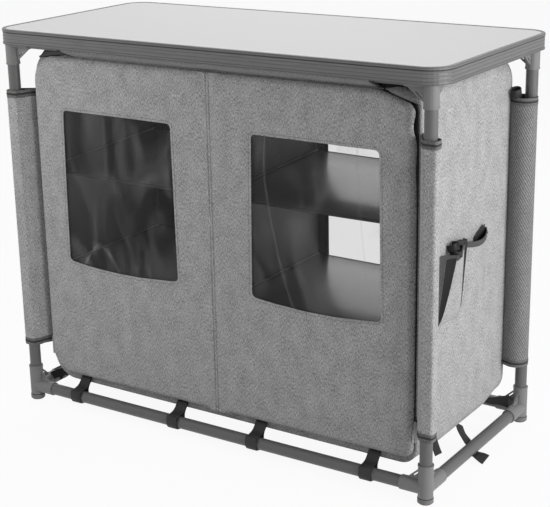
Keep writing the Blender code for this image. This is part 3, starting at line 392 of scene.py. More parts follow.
def paint_groove_shade(material, top, grooves):
    """Painted shade in an extrusion's grooves: within each band of height the colour is scaled down."""
    tree = material.node_tree
    height = add(tree, "ShaderNodeSeparateXYZ", {"Vector": add(tree, "ShaderNodeTexCoord").outputs["Object"]})
    fall = spread(tree, height.outputs["Z"], 0.0, 1.0, top, top - EDGE_DEPTH * MM)
    ramp = add(tree, "ShaderNodeValToRGB", {"Fac": fall})
    stops = ramp.color_ramp.elements
    stops.remove(stops[1])
    stops[0].position, stops[0].color = 0.0, (1, 1, 1, 1)
    for start, end, level in grooves:
        for place, shade in ((start / EDGE_DEPTH - GROOVE_BLUR, 1.0),
                             ((start + GROOVE_SOFT) / EDGE_DEPTH, level),
                             ((end - GROOVE_SOFT) / EDGE_DEPTH, level),
                             (end / EDGE_DEPTH + GROOVE_BLUR, 1.0)):
            stops.new(place).color = (shade, shade, shade, 1)
    tint(tree, tree.nodes["Principled BSDF"], "MULTIPLY", {1: ramp.outputs["Color"]})


# The extrusion's grooves get painted shade.
paint_groove_shade(extrusion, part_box("worktop_edge")[1][2], EDGE_GROOVES)
FRAME_FINISHES = {"worktop_board": laminate, "worktop_edge": extrusion, "leg_": powder, "top_rail_": powder,
                  "bottom_rail_": powder, "upper_connector_": moulding, "lower_connector_": moulding,
                  "foot_cap_": rubbery, "zip_slider_": zinc}
finished = 0
for node_name, node_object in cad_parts.items():
    kept = [finish for start, finish in FRAME_FINISHES.items() if node_name.startswith(start)]
    if kept and not node_name.startswith("leg_sleeve_"):
        node_object.data.materials.clear()
        node_object.data.materials.append(kept[0])
        finished += 1
print("finished hard parts", finished)

# %% [markdown]
# ## Surfaces from grids
#
# Every sewn piece is a grid of points, worked out at once as arrays. One function turns one or more grids
# into a mesh, keeps each point's flat place as the UV map, closes the seams where grids meet, and gives
# the sheet its thickness. A second function carries a cross-section along a path, for webbing, tape,
# piping and cord.


# %% Grid to mesh
MERGE = 0.002 * MM


def steps(points, axis):
    """The distance along a grid's rows or columns: the running sum of the mean step."""
    length = np.linalg.norm(np.diff(points, axis=axis), axis=-1).mean(1 - axis)
    return np.concatenate([[0], np.cumsum(length)])


def flat_of(points):
    """A grid's flat place: the distance along its rows and along its columns."""
    return np.stack(np.meshgrid(steps(points, 1), steps(points, 0)), -1)


def quad_normals(corners, quads):
    """Each quad's normal: the cross product of its diagonals."""
    return np.cross(corners[quads[:, 2]] - corners[quads[:, 0]], corners[quads[:, 3]] - corners[quads[:, 1]])


def surface(name, patches, finishes, wall=0.0, outward=None, closed=False):
    """One mesh from patches of (points, flat): quads between neighbours, wound to face outward.

    outward is a direction that the sheet's mean normal should follow; a closed piece faces away from the
    middle of its rings. wall thickens the sheet behind it, and a second finish covers that inner side.
    """
    corners, quads, flats, start = [], [], [], 0
    for points, flat in patches:
        rows, columns = points.shape[:2]
        index, own = np.arange(rows * columns).reshape(rows, columns), points.reshape(-1, 3)
        quad = np.stack([index[:-1, :-1], index[:-1, 1:], index[1:, 1:], index[1:, :-1]], -1).reshape(-1, 4)
        if closed:
            centres = points[:, :-1].mean(1)
            middles = np.repeat((centres[:-1] + centres[1:]) / 2, columns - 1, axis=0)
            if (quad_normals(own, quad) * (own[quad].mean(1) - middles)).sum() < 0:
                quad = quad[:, ::-1]
        corners.append(own)
        quads.append(start + quad)
        flats.append(flat.reshape(-1, 2))
        start += rows * columns
    corners, quads, flats = (np.concatenate(part) for part in (corners, quads, flats))
    if outward is not None and quad_normals(corners, quads).sum(0) @ np.array(outward) < 0:
        quads = quads[:, ::-1]
    mesh = bpy.data.meshes.new(name)
    mesh.from_pydata(corners.tolist(), [], quads.tolist())
    mesh.uv_layers.new(name="cloth").data.foreach_set("uv", flats[quads.ravel()].astype(np.float32).ravel())
    shape = bmesh.new()
    shape.from_mesh(mesh)
    bmesh.ops.remove_doubles(shape, verts=shape.verts, dist=MERGE)
    shape.to_mesh(mesh)
    shape.free()
    mesh.shade_smooth()
    for finish in finishes:
        mesh.materials.append(finish)
    piece = show(name, mesh)
    if wall:
        thickness = piece.modifiers.new("thickness", "SOLIDIFY")
        thickness.thickness = wall
        thickness.offset = -1
        thickness.material_offset = len(finishes) - 1
    return piece


def fit_in(piece, body, slot_name, *nodes):
    """Attaches a piece to the body that it moves with, and hides the nodes that it stands for. slot_name is not
    used.
    """
    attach(piece, body)
    if nodes:
        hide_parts(*nodes)


def swept(path, section, side, sizes=1.0):
    """A section carried along a path: point + size * (a * side + b * normal), normal = tangent x side."""
    tangent = unit(np.gradient(path, axis=0))
    closed = np.allclose(path[0], path[-1])
    if closed:
        tangent[0] = tangent[-1] = unit(path[1] - path[-2])
    side = np.broadcast_to(np.asarray(side, float), path.shape)
    side = unit(side - (side * tangent).sum(-1, keepdims=True) * tangent)
    normal = np.cross(tangent, side)
    sizes = np.broadcast_to(sizes, len(path))[:, None, None]
    ring = section[None, :, :1] * side[:, None] + section[None, :, 1:] * normal[:, None]
    grid = path[:, None] + sizes * ring
    if closed:
        return grid
    ends = np.repeat(path[[0, -1], None], len(section), axis=1)
    return np.concatenate([ends[:1], grid, ends[1:]])


def along_first(points):
    """A swept grid's flat place with its path along V and its section along U."""
    return points, flat_of(points)


def flat_front(points):
    """A grid that lies upright across the front, with x and z as its flat place."""
    return points, points[..., ::2]


def flat_side(points):
    """A grid that lies upright along the side, with y and z as its flat place."""
    return points, points[..., 1:]


def carry(name, runs, finish, slot_name, *nodes, body="cupboard"):
    """A closed piece from runs of (path, section, side) or (path, section, side, sizes), fitted in."""
    piece = surface(name, [along_first(swept(*run)) for run in runs], [finish], closed=True)
    fit_in(piece, body, slot_name, *nodes)


def circle(radius, sides):
    """A round section with its first point repeated."""
    turn = np.linspace(0, 2 * math.pi, sides + 1)
    return radius * np.stack([np.cos(turn), np.sin(turn)], 1)


def strap_section(width, thickness, count=4):
    """A flat strap's section: a slot shape with half-round edges."""
    half, radius = width / 2 - thickness / 2, thickness / 2
    turn = np.linspace(-math.pi / 2, math.pi / 2, count)
    right = np.stack([half + radius * np.cos(turn), radius * np.sin(turn)], 1)
    left = np.stack([-half - radius * np.cos(turn), -radius * np.sin(turn)], 1)
    return np.concatenate([right, left, right[:1]])


def smooth(share):
    """A smooth step from 0 to 1: 3 s squared less 2 s cubed."""
    share = np.clip(share, 0, 1)
    return share * share * (3 - 2 * share)


# %% [markdown]
# ## Sizes read from the construction
#
# Each sewn piece takes its place from the node that it stands for, so the names below only give the
# frame's own numbers a plain name.

# %% Read the sizes
def low(node):
    """A node's lowest corner."""
    return np.array(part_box(node)[0])


def high(node):
    """A node's highest corner."""
    return np.array(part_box(node)[1])


BODY_X = high("door_surround")[0]
CABINET_BOTTOM, CABINET_TOP = low("door_surround")[2], high("door_surround")[2]
FRAME_FRONT_Y = low("door_surround")[1]
WALL_FRONT_Y, WALL_REAR_Y = low("side_wall_right")[1], high("side_wall_right")[1]
REAR_INNER_Y, REAR_OUTER_Y = low("rear_panel")[1], high("rear_panel")[1]
LEG_X, LEG_Y = (low("leg_front_right")[:2] + high("leg_front_right")[:2]) / 2 * np.array([1, -1])
TUBE_RADIUS = (high("leg_front_right") - low("leg_front_right"))[0] / 2
TOP_RAIL_Z = (low("top_rail_front") + high("top_rail_front"))[2] / 2
BOTTOM_RAIL_Z = (low("bottom_rail_front") + high("bottom_rail_front"))[2] / 2
HINGE_X, DOOR_X = low("door_right")[0], high("door_right")[0]
DOOR_BOTTOM, DOOR_TOP = low("door_right")[2], high("door_right")[2]
SEAM_Y = low("divider")[1]
ZIP_Y = (low("zip_chain") + high("zip_chain"))[1] / 2
FRONT_RADII = {-1: 53 * MM, 1: 36 * MM}
MIDDLE_RADIUS, REAR_RADIUS, RADIUS_FADE = 30 * MM, 50 * MM, 85 * MM
WALL_BULGE = 4 * MM
CLOTH = 1.2 * MM
SIDES = {-1: "left", 1: "right"}
print("cabinet", round(2 * BODY_X, 3), "wide,", round(CABINET_TOP - CABINET_BOTTOM, 3), "tall")

# %% [markdown]
# ## The cabinet's shell
#
# The walls, the roof and the floor are four cloths sewn along the rounded corners. A corner is softer at
# the front and the rear than in the middle, where the weight of the shelves pulls it tight. Each cloth is
# a function of the way round its section and of the depth. Soft dents run in from the seams.


# %% Side walls
def corner_radius(side, depth):
    """The corner's radius: the middle value, raised near each end by a smooth step."""
    to_front = 1 - smooth((depth - WALL_FRONT_Y) / RADIUS_FADE)
    to_rear = 1 - smooth((WALL_REAR_Y - depth) / RADIUS_FADE)
    return (MIDDLE_RADIUS + (FRONT_RADII[side] - MIDDLE_RADIUS) * to_front
            + (REAR_RADIUS - MIDDLE_RADIUS) * to_rear)


def wall_dents(across, up):
    """Shallow dents: two slow waves across each other, strongest near the foot and head."""
    slow = np.sin(2 * math.pi * (1.3 * across + 0.8 * up)) * np.sin(math.pi * (2.1 * up + 0.3))
    pulls = np.sin(2 * math.pi * (3.2 * across - 1.5 * up) + 0.7) * (1 - smooth(up / 0.3))
    return 0.9 * MM * slow + 0.7 * MM * pulls


def make_wall(side):
    """x = body edge - r + r cos a, z = base + r + r sin a, with the straight side bulged by sines."""
    turn = np.linspace(0, math.pi / 4, 9)
    lean = np.concatenate([-turn[::-1], np.zeros(36), turn])[None]
    straight = np.concatenate([np.zeros(9), np.linspace(0, 1, 38)[1:-1], np.ones(9)])[None]
    depth = np.linspace(WALL_FRONT_Y, WALL_REAR_Y, 56)[:, None]
    radius = corner_radius(side, depth)
    across = (depth - WALL_FRONT_Y) / (WALL_REAR_Y - WALL_FRONT_Y)
    held = np.sin(math.pi * across) * np.sin(math.pi * straight)
    bulge = WALL_BULGE * np.sin(math.pi * across) ** 2 * np.sin(math.pi * straight)
    x = BODY_X - radius + radius * np.cos(lean) + bulge + wall_dents(across, straight) * held ** 0.5
    z = CABINET_BOTTOM + radius + straight * (CABINET_TOP - CABINET_BOTTOM - 2 * radius) + radius * np.sin(lean)
    points = np.stack([side * x, depth + 0 * x, z], -1)
    wall = surface("wall_cloth_" + SIDES[side], [flat_side(points)], [heather_cloth, lining], CLOTH,
                   (side, 0, 0))
    fit_in(wall, "cupboard", "cloth", "side_wall_" + SIDES[side])


for side in SIDES:
    make_wall(side)


# %% Roof and floor
def make_span(level):
    """The roof (1) or the floor (-1): a flat run between two eighth-circle corners."""
    name = "roof" if level > 0 else "floor"
    turn = np.linspace(math.pi / 4, 0, 9)
    depth = np.linspace(WALL_FRONT_Y, WALL_REAR_Y, 40)[:, None]
    radius = {side: corner_radius(side, depth) for side in (-1, 1)}
    base = CABINET_TOP if level > 0 else CABINET_BOTTOM
    ends = {side: (side * (BODY_X - radius[side] + radius[side] * np.sin(turn)),
                   base - level * radius[side] * (1 - np.cos(turn))) for side in (-1, 1)}
    share = np.linspace(0, 1, 60)[None, 1:-1]
    x = ends[-1][0][:, -1:] * (1 - share) + ends[1][0][:, -1:] * share
    x = np.concatenate([ends[-1][0], x, ends[1][0][:, ::-1]], 1)
    across = (depth - WALL_FRONT_Y) / (WALL_REAR_Y - WALL_FRONT_Y)
    sag = -0.8 * MM * np.sin(math.pi * share) * np.sin(3 * math.pi * across) ** 2
    z = np.concatenate([ends[-1][1], base + level * sag, ends[1][1][:, ::-1]], 1)
    points = np.stack([x, depth + 0 * x, z], -1)
    cloth = surface(name + "_cloth", [(points, np.stack([x, depth + 0 * x], -1))], [lining, lining], CLOTH,
                    (0, 0, level))
    fit_in(cloth, "cupboard", "lining", name + "_panel")


make_span(1)
make_span(-1)

# %% [markdown]
# ## Front surround and rear panel
#
# Both are flat cloths with a hole. The grid runs from the outer outline to the hole's outline: each ring
# mixes the two, so the quads fan out evenly and the corners stay round. Binding tape is folded over the
# edge of each rear opening.


# %% Rounded outlines
def rounded(x0, x1, z0, z1, radii, side_points=60, arc_points=9):
    """A rounded rectangle, anticlockwise from its lower left arc, closed by its first point."""
    centres = np.array([(x0 + radii[0], z0 + radii[0]), (x1 - radii[1], z0 + radii[1]),
                        (x1 - radii[2], z1 - radii[2]), (x0 + radii[3], z1 - radii[3])])
    angle = np.arange(2, 6)[:, None] * math.pi / 2 + np.linspace(0, math.pi / 2, arc_points)[None]
    arcs = centres[:, None] + np.array(radii)[:, None, None] * np.stack([np.cos(angle), np.sin(angle)], -1)
    starts, ends = arcs[:, -1], np.roll(arcs[:, 0], -1, axis=0)
    share = np.linspace(0, 1, side_points + 2)[1:-1]
    sides = starts[:, None] + (ends - starts)[:, None] * share[None, :, None]
    loop = np.concatenate([arcs, sides], 1).reshape(-1, 2)
    return np.concatenate([loop, loop[:1]])


def rings_between(outer, inner, count):
    """Rings that mix two outlines with the same number of points."""
    share = np.linspace(0, 1, count)[:, None, None]
    return outer[None] * (1 - share) + inner[None] * share


def upright(flat, depth):
    """Points (x, depth, z) from a grid of (x, z)."""
    return np.stack([flat[..., 0], depth + 0 * flat[..., 0], flat[..., 1]], -1)


# %% Front surround
SURROUND_WIDTH = 22 * MM
SURROUND_SETBACK = 0.7 * MM
front_radii = [FRONT_RADII[-1], FRONT_RADII[1], FRONT_RADII[1], FRONT_RADII[-1]]
outer = rounded(-BODY_X, BODY_X, CABINET_BOTTOM, CABINET_TOP, front_radii)
inset = SURROUND_WIDTH
inner = rounded(inset - BODY_X, BODY_X - inset, CABINET_BOTTOM + inset, CABINET_TOP - inset, [26 * MM] * 4)
points = upright(rings_between(outer, inner, 6), FRAME_FRONT_Y + SURROUND_SETBACK)
surround = surface("surround_cloth", [flat_front(points)], [heather_cloth, lining], CLOTH, (0, -1, 0))
fit_in(surround, "cupboard", "cloth", "door_surround")

# %% Rear panel and its bindings
REAR_BORDER, REAR_SIDE_BORDER, REAR_MIDDLE = 32 * MM, 100 * MM, 44 * MM
BINDING_WIDTH = 9 * MM
patches, holes = [], {}
for side in (-1, 1):
    near, far = side * REAR_MIDDLE / 2, side * (BODY_X - REAR_SIDE_BORDER)
    hole = rounded(min(near, far), max(near, far), CABINET_BOTTOM + REAR_BORDER, CABINET_TOP - REAR_BORDER,
                   [16 * MM] * 4)
    corners = [REAR_RADIUS, 0, 0, REAR_RADIUS] if side < 0 else [0, REAR_RADIUS, REAR_RADIUS, 0]
    half = rounded(min(0, side * BODY_X), max(0, side * BODY_X), CABINET_BOTTOM, CABINET_TOP, corners)
    patches.append(flat_front(upright(rings_between(half, hole, 10), REAR_OUTER_Y)))
    holes[side] = hole
rear = surface("rear_cloth", patches, [heather_cloth, lining], CLOTH, (0, 1, 0))
fit_in(rear, "cupboard", "cloth", "rear_panel")
section = strap_section(BINDING_WIDTH, CLOTH + 0.9 * MM)
for side, hole in holes.items():
    path = upright(hole, REAR_OUTER_Y - CLOTH / 2)
    carry("rear_binding_" + SIDES[side], [(path, section, unit(path - path.mean(0)))], binding, "webbing")

# %% [markdown]
# ## Divider, seam and shelves
#
# A cloth divider runs from the rear panel to the doors. Where it meets them, a narrow strip of the outer
# cloth is stitched on, and both doors swing from its edges. The shelves are thin boards in sleeves of
# lining, bound at the front and the rear edge, and the upper ones tip forward. Each is a closed section
# carried along its length.

# %% Divider
# The divider stops short of the doors' ends, and behind the surround it reaches the roof and the floor.
SEAM_HALF_WIDTH, DIVIDER_STEP, DIVIDER_STOP = 4 * MM, 4 * MM, 3 * MM
depth = np.linspace(SEAM_Y + CLOTH, REAR_INNER_Y, 60)[None]
inside = smooth((depth - FRAME_FRONT_Y) / DIVIDER_STEP)
foot = (DOOR_BOTTOM + DIVIDER_STOP) * (1 - inside) + (CABINET_BOTTOM + 1.5 * CLOTH) * inside
head = (DOOR_TOP - DIVIDER_STOP) * (1 - inside) + (CABINET_TOP - 1.5 * CLOTH) * inside
up = foot + (head - foot) * np.linspace(0, 1, 40)[:, None]
sway = 0.8 * MM * np.sin(2 * math.pi * (up / 0.31 + depth / 0.4)) * np.sin(math.pi * (depth - SEAM_Y) / 0.38)
points = np.stack([CLOTH / 2 + sway, depth + 0 * up, up], -1)
divider = surface("divider_cloth", [flat_side(points)], [lining, lining], CLOTH, (1, 0, 0))
fit_in(divider, "cupboard", "lining", "divider")

# %% Centre seam
# At the foot and the head, a short strip of the same cloth lies across behind the seam.
TURNED_HALF, TURNED_WIDTH, TURNED_SETBACK = 34 * MM, 14 * MM, 8.5 * MM
up = np.linspace(DOOR_BOTTOM + 1 * MM, DOOR_TOP - 1 * MM, 220)
wander = 0.35 * MM * np.sin(up / (23 * MM)) + 0.25 * MM * np.sin(up / (9 * MM) + 1)
seam_path = np.stack([wander, np.full_like(up, SEAM_Y + CLOTH / 2), up], 1)
runs = [(seam_path, strap_section(2 * SEAM_HALF_WIDTH, CLOTH), (1, 0, 0))]
turned = np.linspace(-TURNED_HALF, TURNED_HALF, 20)
for z in (DOOR_BOTTOM + CLOTH, DOOR_TOP - CLOTH / 2):
    path = np.stack([turned, np.full_like(turned, SEAM_Y + TURNED_SETBACK), np.full_like(turned, z)], 1)
    runs.append((path, strap_section(TURNED_WIDTH, CLOTH), (0, 1, 0)))
carry("centre_seam", runs, heather_cloth, "cloth", "divider")


# %% Shelves
SHELF_SAG, SHELF_TAPE, SHELF_STOP = 1.5 * MM, 8 * MM, 3 * MM
SHELF_DROPS = {"lower": 1 * MM, "upper": 13 * MM}


def make_shelf(node, drop):
    """A rounded section carried along the shelf, sagging by a sine and tipping forward by the drop."""
    start, end = low(node), high(node)
    thick, deep = (end - start)[2], (end - start)[1]
    tilt = drop / deep
    x = np.linspace(start[0], end[0], 30)
    sag = -SHELF_SAG * np.sin(math.pi * (x - start[0]) / (end[0] - start[0])) - drop / 2
    path = np.stack([x, np.full_like(x, (start[1] + end[1]) / 2), (start[2] + end[2]) / 2 + sag], 1)
    carry(node + "_cloth", [(path, strap_section(deep, thick, 5), (0, 1, tilt))], shelf_lining, "lining", node)
    section = strap_section(SHELF_TAPE, thick + 0.8 * MM)
    edges = [np.array([0, start[1] - path[0, 1] + SHELF_STOP, -drop / 2]),
             np.array([0, end[1] - path[0, 1] - SHELF_STOP, drop / 2])]
    carry(node + "_binding", [(path + edge, section, (0, 1, tilt)) for edge in edges], binding, "webbing")
    back = np.linspace(start[1] + 8 * MM, end[1] - 4 * MM, 30)
    rise = end[2] + 1.2 * MM + tilt * (back - end[1])
    path = np.stack([np.full_like(back, start[0] + 2.5 * MM), back, rise], 1)
    carry(node + "_seam", [(path, strap_section(6 * MM, 1.6 * MM), (1, 0, 0.6))], cord, "webbing")


for side_name in SIDES.values():
    for level_name, drop in SHELF_DROPS.items():
        make_shelf("shelf_%s_%s" % (level_name, side_name), drop)

# %% [markdown]
# ## Doors and windows
#
# Each door is one cloth with a window cut in it. Its grid starts behind the rounded free edge, comes
# round to the front in a quarter circle, and runs in rings to the window's outline. The relief is a
# crown, a slow fold and small ripples. The right door's free corner droops: its top edge falls, its side
# is pulled in and it curls forward. Above it the cabinet's cloth puckers, drawn darker as painted shade,
# over a black sheet of painted shade. Clear PVC film is sewn behind each window; its slow waves make
# streaks of light, and painted highlights run along its creases.

# %% The doors' relief
DOOR_EDGE_RADIUS, DOOR_SEAM_RADIUS = 12 * MM, 2 * MM
DOOR_CROWN, DOOR_FOLD_DEPTH, DOOR_FOLD_PITCH = 5 * MM, 1.4 * MM, 210 * MM
CORNER_CURL, CORNER_CURL_REACH = 7 * MM, 110 * MM
EDGE_PULL, EDGE_PULL_Z, EDGE_PULL_REACH = 6 * MM, DOOR_TOP - 45 * MM, 24 * MM
EDGE_SETBACK, DOOR_TURNING = 2.2 * MM, 24 * MM
DROP, DROP_LENGTH, DROP_REACH = 22 * MM, 80 * MM, 130 * MM
FREE_RADII = {-1: (FRONT_RADII[-1], FRONT_RADII[-1]), 1: (22 * MM, 14 * MM)}  # at the foot and at the head


def door_forward(x, z, side):
    """Crown (sine across times sine up), slow fold (sine squared), ripples, and the right corner's curl."""
    across = (np.abs(x) - HINGE_X) / (DOOR_X - HINGE_X)
    up = (z - DOOR_BOTTOM) / (DOOR_TOP - DOOR_BOTTOM)
    crown = DOOR_CROWN * np.sin(math.pi * np.clip(across, 0, 1)) * np.sin(math.pi * np.clip(up, 0, 1))
    fold = DOOR_FOLD_DEPTH * np.sin(math.pi * x / DOOR_FOLD_PITCH) ** 2
    fade = smooth(4 * across) * smooth(6 * (1 - across)) * smooth(2 * up) * smooth(6 * (1 - up))
    ripple = np.sin(x / (11 * MM) + 1.4 * np.sin(z / (70 * MM))) * np.sin(z / (90 * MM) + side)
    ripple += 0.6 * np.sin(x / (19 * MM) - z / (60 * MM) + 2 * side)
    held = smooth(5 * across) * smooth(7 * (1 - across)) * smooth(9 * up) * smooth(9 * (1 - up))
    forward = crown + fold * fade + 0.45 * MM * ripple * held
    if side > 0:
        corner = np.hypot(np.abs(x) - DOOR_X, z - DOOR_TOP)
        forward = forward + CORNER_CURL * smooth(1 - corner / CORNER_CURL_REACH)
    return SEAM_Y - forward


# %% Window outlines
WINDOW_HEAD, WINDOW_FOOT = 105 * MM, 259 * MM
WINDOW_SEAM, WINDOW_SIDE, WINDOW_SHIFT = 88 * MM, 73.6 * MM, 4.5 * MM
WINDOW_RADIUS, WINDOW_FLARE, WINDOW_SAG, WINDOW_LAP = 9 * MM, 10 * MM, 8 * MM, 9 * MM
WINDOW_WIDTH = DOOR_X - HINGE_X - WINDOW_SEAM - WINDOW_SIDE
WINDOW_TOP, WINDOW_BOTTOM = DOOR_TOP - WINDOW_HEAD, DOOR_BOTTOM + WINDOW_FOOT


def window_middle(side):
    """A window's middle along X."""
    return WINDOW_SHIFT + side * (HINGE_X + WINDOW_SEAM + WINDOW_WIDTH / 2)


def hang(x, z, side):
    """Spreads a window's places towards its foot, and drops the foot's middle by a cosine."""
    across = (x - window_middle(side)) / WINDOW_WIDTH
    down = (WINDOW_TOP - z) / (WINDOW_TOP - WINDOW_BOTTOM)
    sag = WINDOW_SAG * np.cos(math.pi * np.clip(across, -0.5, 0.5)) * np.clip(down, 0, 1) ** 3
    return x + WINDOW_FLARE * across * down, z - sag


def window_loop(side, out=0.0):
    """A window's outline as x and z, moved out by a distance."""
    middle, half = window_middle(side), WINDOW_WIDTH / 2 + out
    loop = rounded(middle - half, middle + half, WINDOW_BOTTOM - out, WINDOW_TOP + out,
                   [WINDOW_RADIUS + out] * 4)
    return np.stack(hang(loop[:, 0], loop[:, 1], side), 1)


# %% Doors
def door_loop(side, inset):
    """A door's outline moved in by an inset, tight at the seam and round at its free corners."""
    seam = DOOR_SEAM_RADIUS
    foot, head = (max(radius - inset, seam) for radius in FREE_RADII[side])
    ends = sorted((side * (HINGE_X + inset), side * (DOOR_X - inset)))
    radii = [seam, foot, head, seam] if side > 0 else [foot, seam, seam, head]
    return rounded(*ends, DOOR_BOTTOM + inset, DOOR_TOP - inset, radii)


def edge_pull(x, z, side):
    """How far the right door's edge is pulled in: two bells down the edge, fading across the door."""
    bells = np.exp(-((z - EDGE_PULL_Z) / EDGE_PULL_REACH) ** 2)
    bells += 0.35 * np.exp(-((z - EDGE_PULL_Z + 90 * MM) / (35 * MM)) ** 2)
    near = smooth(1 - (DOOR_X - np.abs(x)) / (45 * MM))
    return (EDGE_PULL * bells + EDGE_SETBACK) * near * (side > 0)


def corner_drop(x, z, side):
    """How far the right door's top edge falls: it grows towards the free corner and fades down the door."""
    along = np.clip((x - DOOR_X + DROP_LENGTH) / DROP_LENGTH, 0, 1) ** 1.25
    return DROP * along * smooth((z - DOOR_TOP + DROP_REACH) / DROP_REACH) * (side > 0)


def make_door(side):
    """Rings: a quarter circle round the free edge, then a mix towards the window's outline."""
    rings, depths = [], []
    for angle in np.linspace(0, math.pi / 2, 8):
        loop = door_loop(side, DOOR_EDGE_RADIUS * (1 - math.cos(angle)))
        free = smooth((np.abs(loop[:, 0]) - HINGE_X - DOOR_EDGE_RADIUS) / DOOR_EDGE_RADIUS)
        rings.append(loop)
        depths.append(free * DOOR_EDGE_RADIUS * (1 - math.sin(angle)))
    face = rings_between(rings[-1], window_loop(side), 34)[1:]
    flat = np.concatenate([np.array(rings), face])
    back = np.concatenate([np.array(depths), np.zeros(face.shape[:2])])
    x, z = flat[..., 0], flat[..., 1]
    y = door_forward(x, z, side) + back
    points = np.stack([x - side * edge_pull(x, z, side), y, z - corner_drop(x, z, side)], -1)
    door = surface("door_cloth_" + SIDES[side], [(points, flat)], [heather_cloth, lining], CLOTH, (0, -1, 0))
    fit_in(door, "door_" + SIDES[side], "cloth", "door_" + SIDES[side])


for side in SIDES:
    make_door(side)

# %% The pucker over the right door's corner
PUCKER_DEPTH, SHADE_DROP = 14 * MM, 30 * MM
across, fall = np.meshgrid(np.linspace(0, 1, 34), np.linspace(0, 1, 14))
x = DOOR_X - DROP_LENGTH + 14 * MM + (DROP_LENGTH - 12 * MM) * across
head = CABINET_TOP - 2 * MM - 13 * MM * smooth((across - 0.6) / 0.4) - 6 * MM * smooth(1 - across / 0.45)
foot = DOOR_TOP + 1 * MM - corner_drop(x, DOOR_TOP, 1)
z = head + (np.minimum(foot, head - 1 * MM) - head) * fall
swell = np.sin(math.pi * np.clip(0.15 + 0.7 * fall, 0, 1)) * smooth(4 * across)
y = FRAME_FRONT_Y - 1 * MM - PUCKER_DEPTH * swell * np.sin(math.pi * np.clip(across * 0.95, 0, 1)) ** 0.8
pucker = surface("corner_pucker", [flat_front(np.stack([x, y, z], -1))], [shaded_heather_cloth, lining], 0.8 * MM,
                 (0, -1, 0))
fit_in(pucker, "cupboard", "cloth")
# A black sheet behind the pucker: painted shade under the worktop.
flat = np.stack(np.meshgrid(np.linspace(DOOR_X - DROP_LENGTH + 10 * MM, DOOR_X - 20 * MM, 20),
                            np.linspace(CABINET_TOP - SHADE_DROP, CABINET_TOP + 1 * MM, 4)), -1)
shade = surface("corner_painted_shade", [flat_front(upright(flat, FRAME_FRONT_Y - 0.6 * MM))], [black_cloth_and_painted_shade] * 2,
                0.5 * MM, (0, -1, 0))
fit_in(shade, "cupboard", "lining")


# %% Clear film
def clear_film(name):
    """PVC film: see-through, with a faint grey haze whose paler patches are partly painted glare, and painted
    highlights along its creases as thin bright lines.
    """
    material, tree, shader = new_finish(name, Roughness=0.25)
    clouds = noise(tree, flat_place(tree, (13, 5, 1), 0.5), 2.0, Distortion=1.2)
    folds = noise(tree, flat_place(tree, (6, 1.7, 1), 0.3), 0.0, Distortion=0.3)
    # Painted highlights: along the middle of each fold line the film is paler and less clear.
    near = compute(tree, "ABSOLUTE", compute(tree, "SUBTRACT", folds, 0.5))
    painted_crease_glints = compute(tree, "MULTIPLY", spread(tree, near, 0.5, 0.0, 0.0, 0.012), clouds)
    pale = compute(tree, "ADD", spread(tree, clouds, 0.0, 0.4, 0.45, 0.8), painted_crease_glints)
    paint(tree, shader, pale, ("#505050", "#c8c8c8"), (0.0, 1.0))
    tree.links.new(spread(tree, pale, 0.15, 0.42), shader.inputs["Alpha"])
    relief(tree, shader, noise(tree, flat_place(tree, (16, 7, 1), -0.4), 1.0), 0.4, 1.5)
    return material


film = clear_film("PVC film, clear")
FILM, FILM_BEHIND, FILM_WAVE = 0.5 * MM, 3 * MM, 1.2 * MM
for side in SIDES:
    reach = WINDOW_WIDTH / 2 + WINDOW_LAP
    x, z = np.meshgrid(window_middle(side) + np.linspace(-reach, reach, 70),
                       np.linspace(WINDOW_BOTTOM - WINDOW_LAP, WINDOW_TOP + WINDOW_LAP, 80))
    x, z = hang(x, z, side)
    middle = np.clip((reach - np.abs(x - window_middle(side))) / (30 * MM), 0, 1)
    swells = FILM_WAVE * np.sin(x / (24 * MM) + z / (60 * MM)) * np.sin(z / (75 * MM) + side) * middle
    y = door_forward(x, z, side) + FILM_BEHIND + np.abs(swells)
    pane = surface("film_" + SIDES[side], [flat_front(np.stack([x, y, z], -1))], [film], FILM, (0, -1, 0))
    fit_in(pane, "door_" + SIDES[side], "film", "window_" + SIDES[side])
print("windows", round(WINDOW_WIDTH, 3), "by", round(WINDOW_TOP - WINDOW_BOTTOM, 3), "m")

# %% [markdown]
# ## Stitches
#
# A stitch is a short grain of thread, pointed at both ends. One small shape is repeated along a line, at
# 3.2 mm from stitch to stitch, and all of a seam's stitches are one mesh.


# %% Rows of stitches
STITCH_PITCH, STITCH_LENGTH, STITCH_RADIUS = 3.2 * MM, 2.5 * MM, 0.38 * MM


def distances(path):
    """The distance along a path at each of its points."""
    return np.concatenate([[0], np.cumsum(np.linalg.norm(np.diff(path, axis=0), axis=1))])


def values_at(places, path, values):
    """The values at places along a path, read between its points."""
    length = distances(path)
    return np.stack([np.interp(places, length, column) for column in values.T], 1)


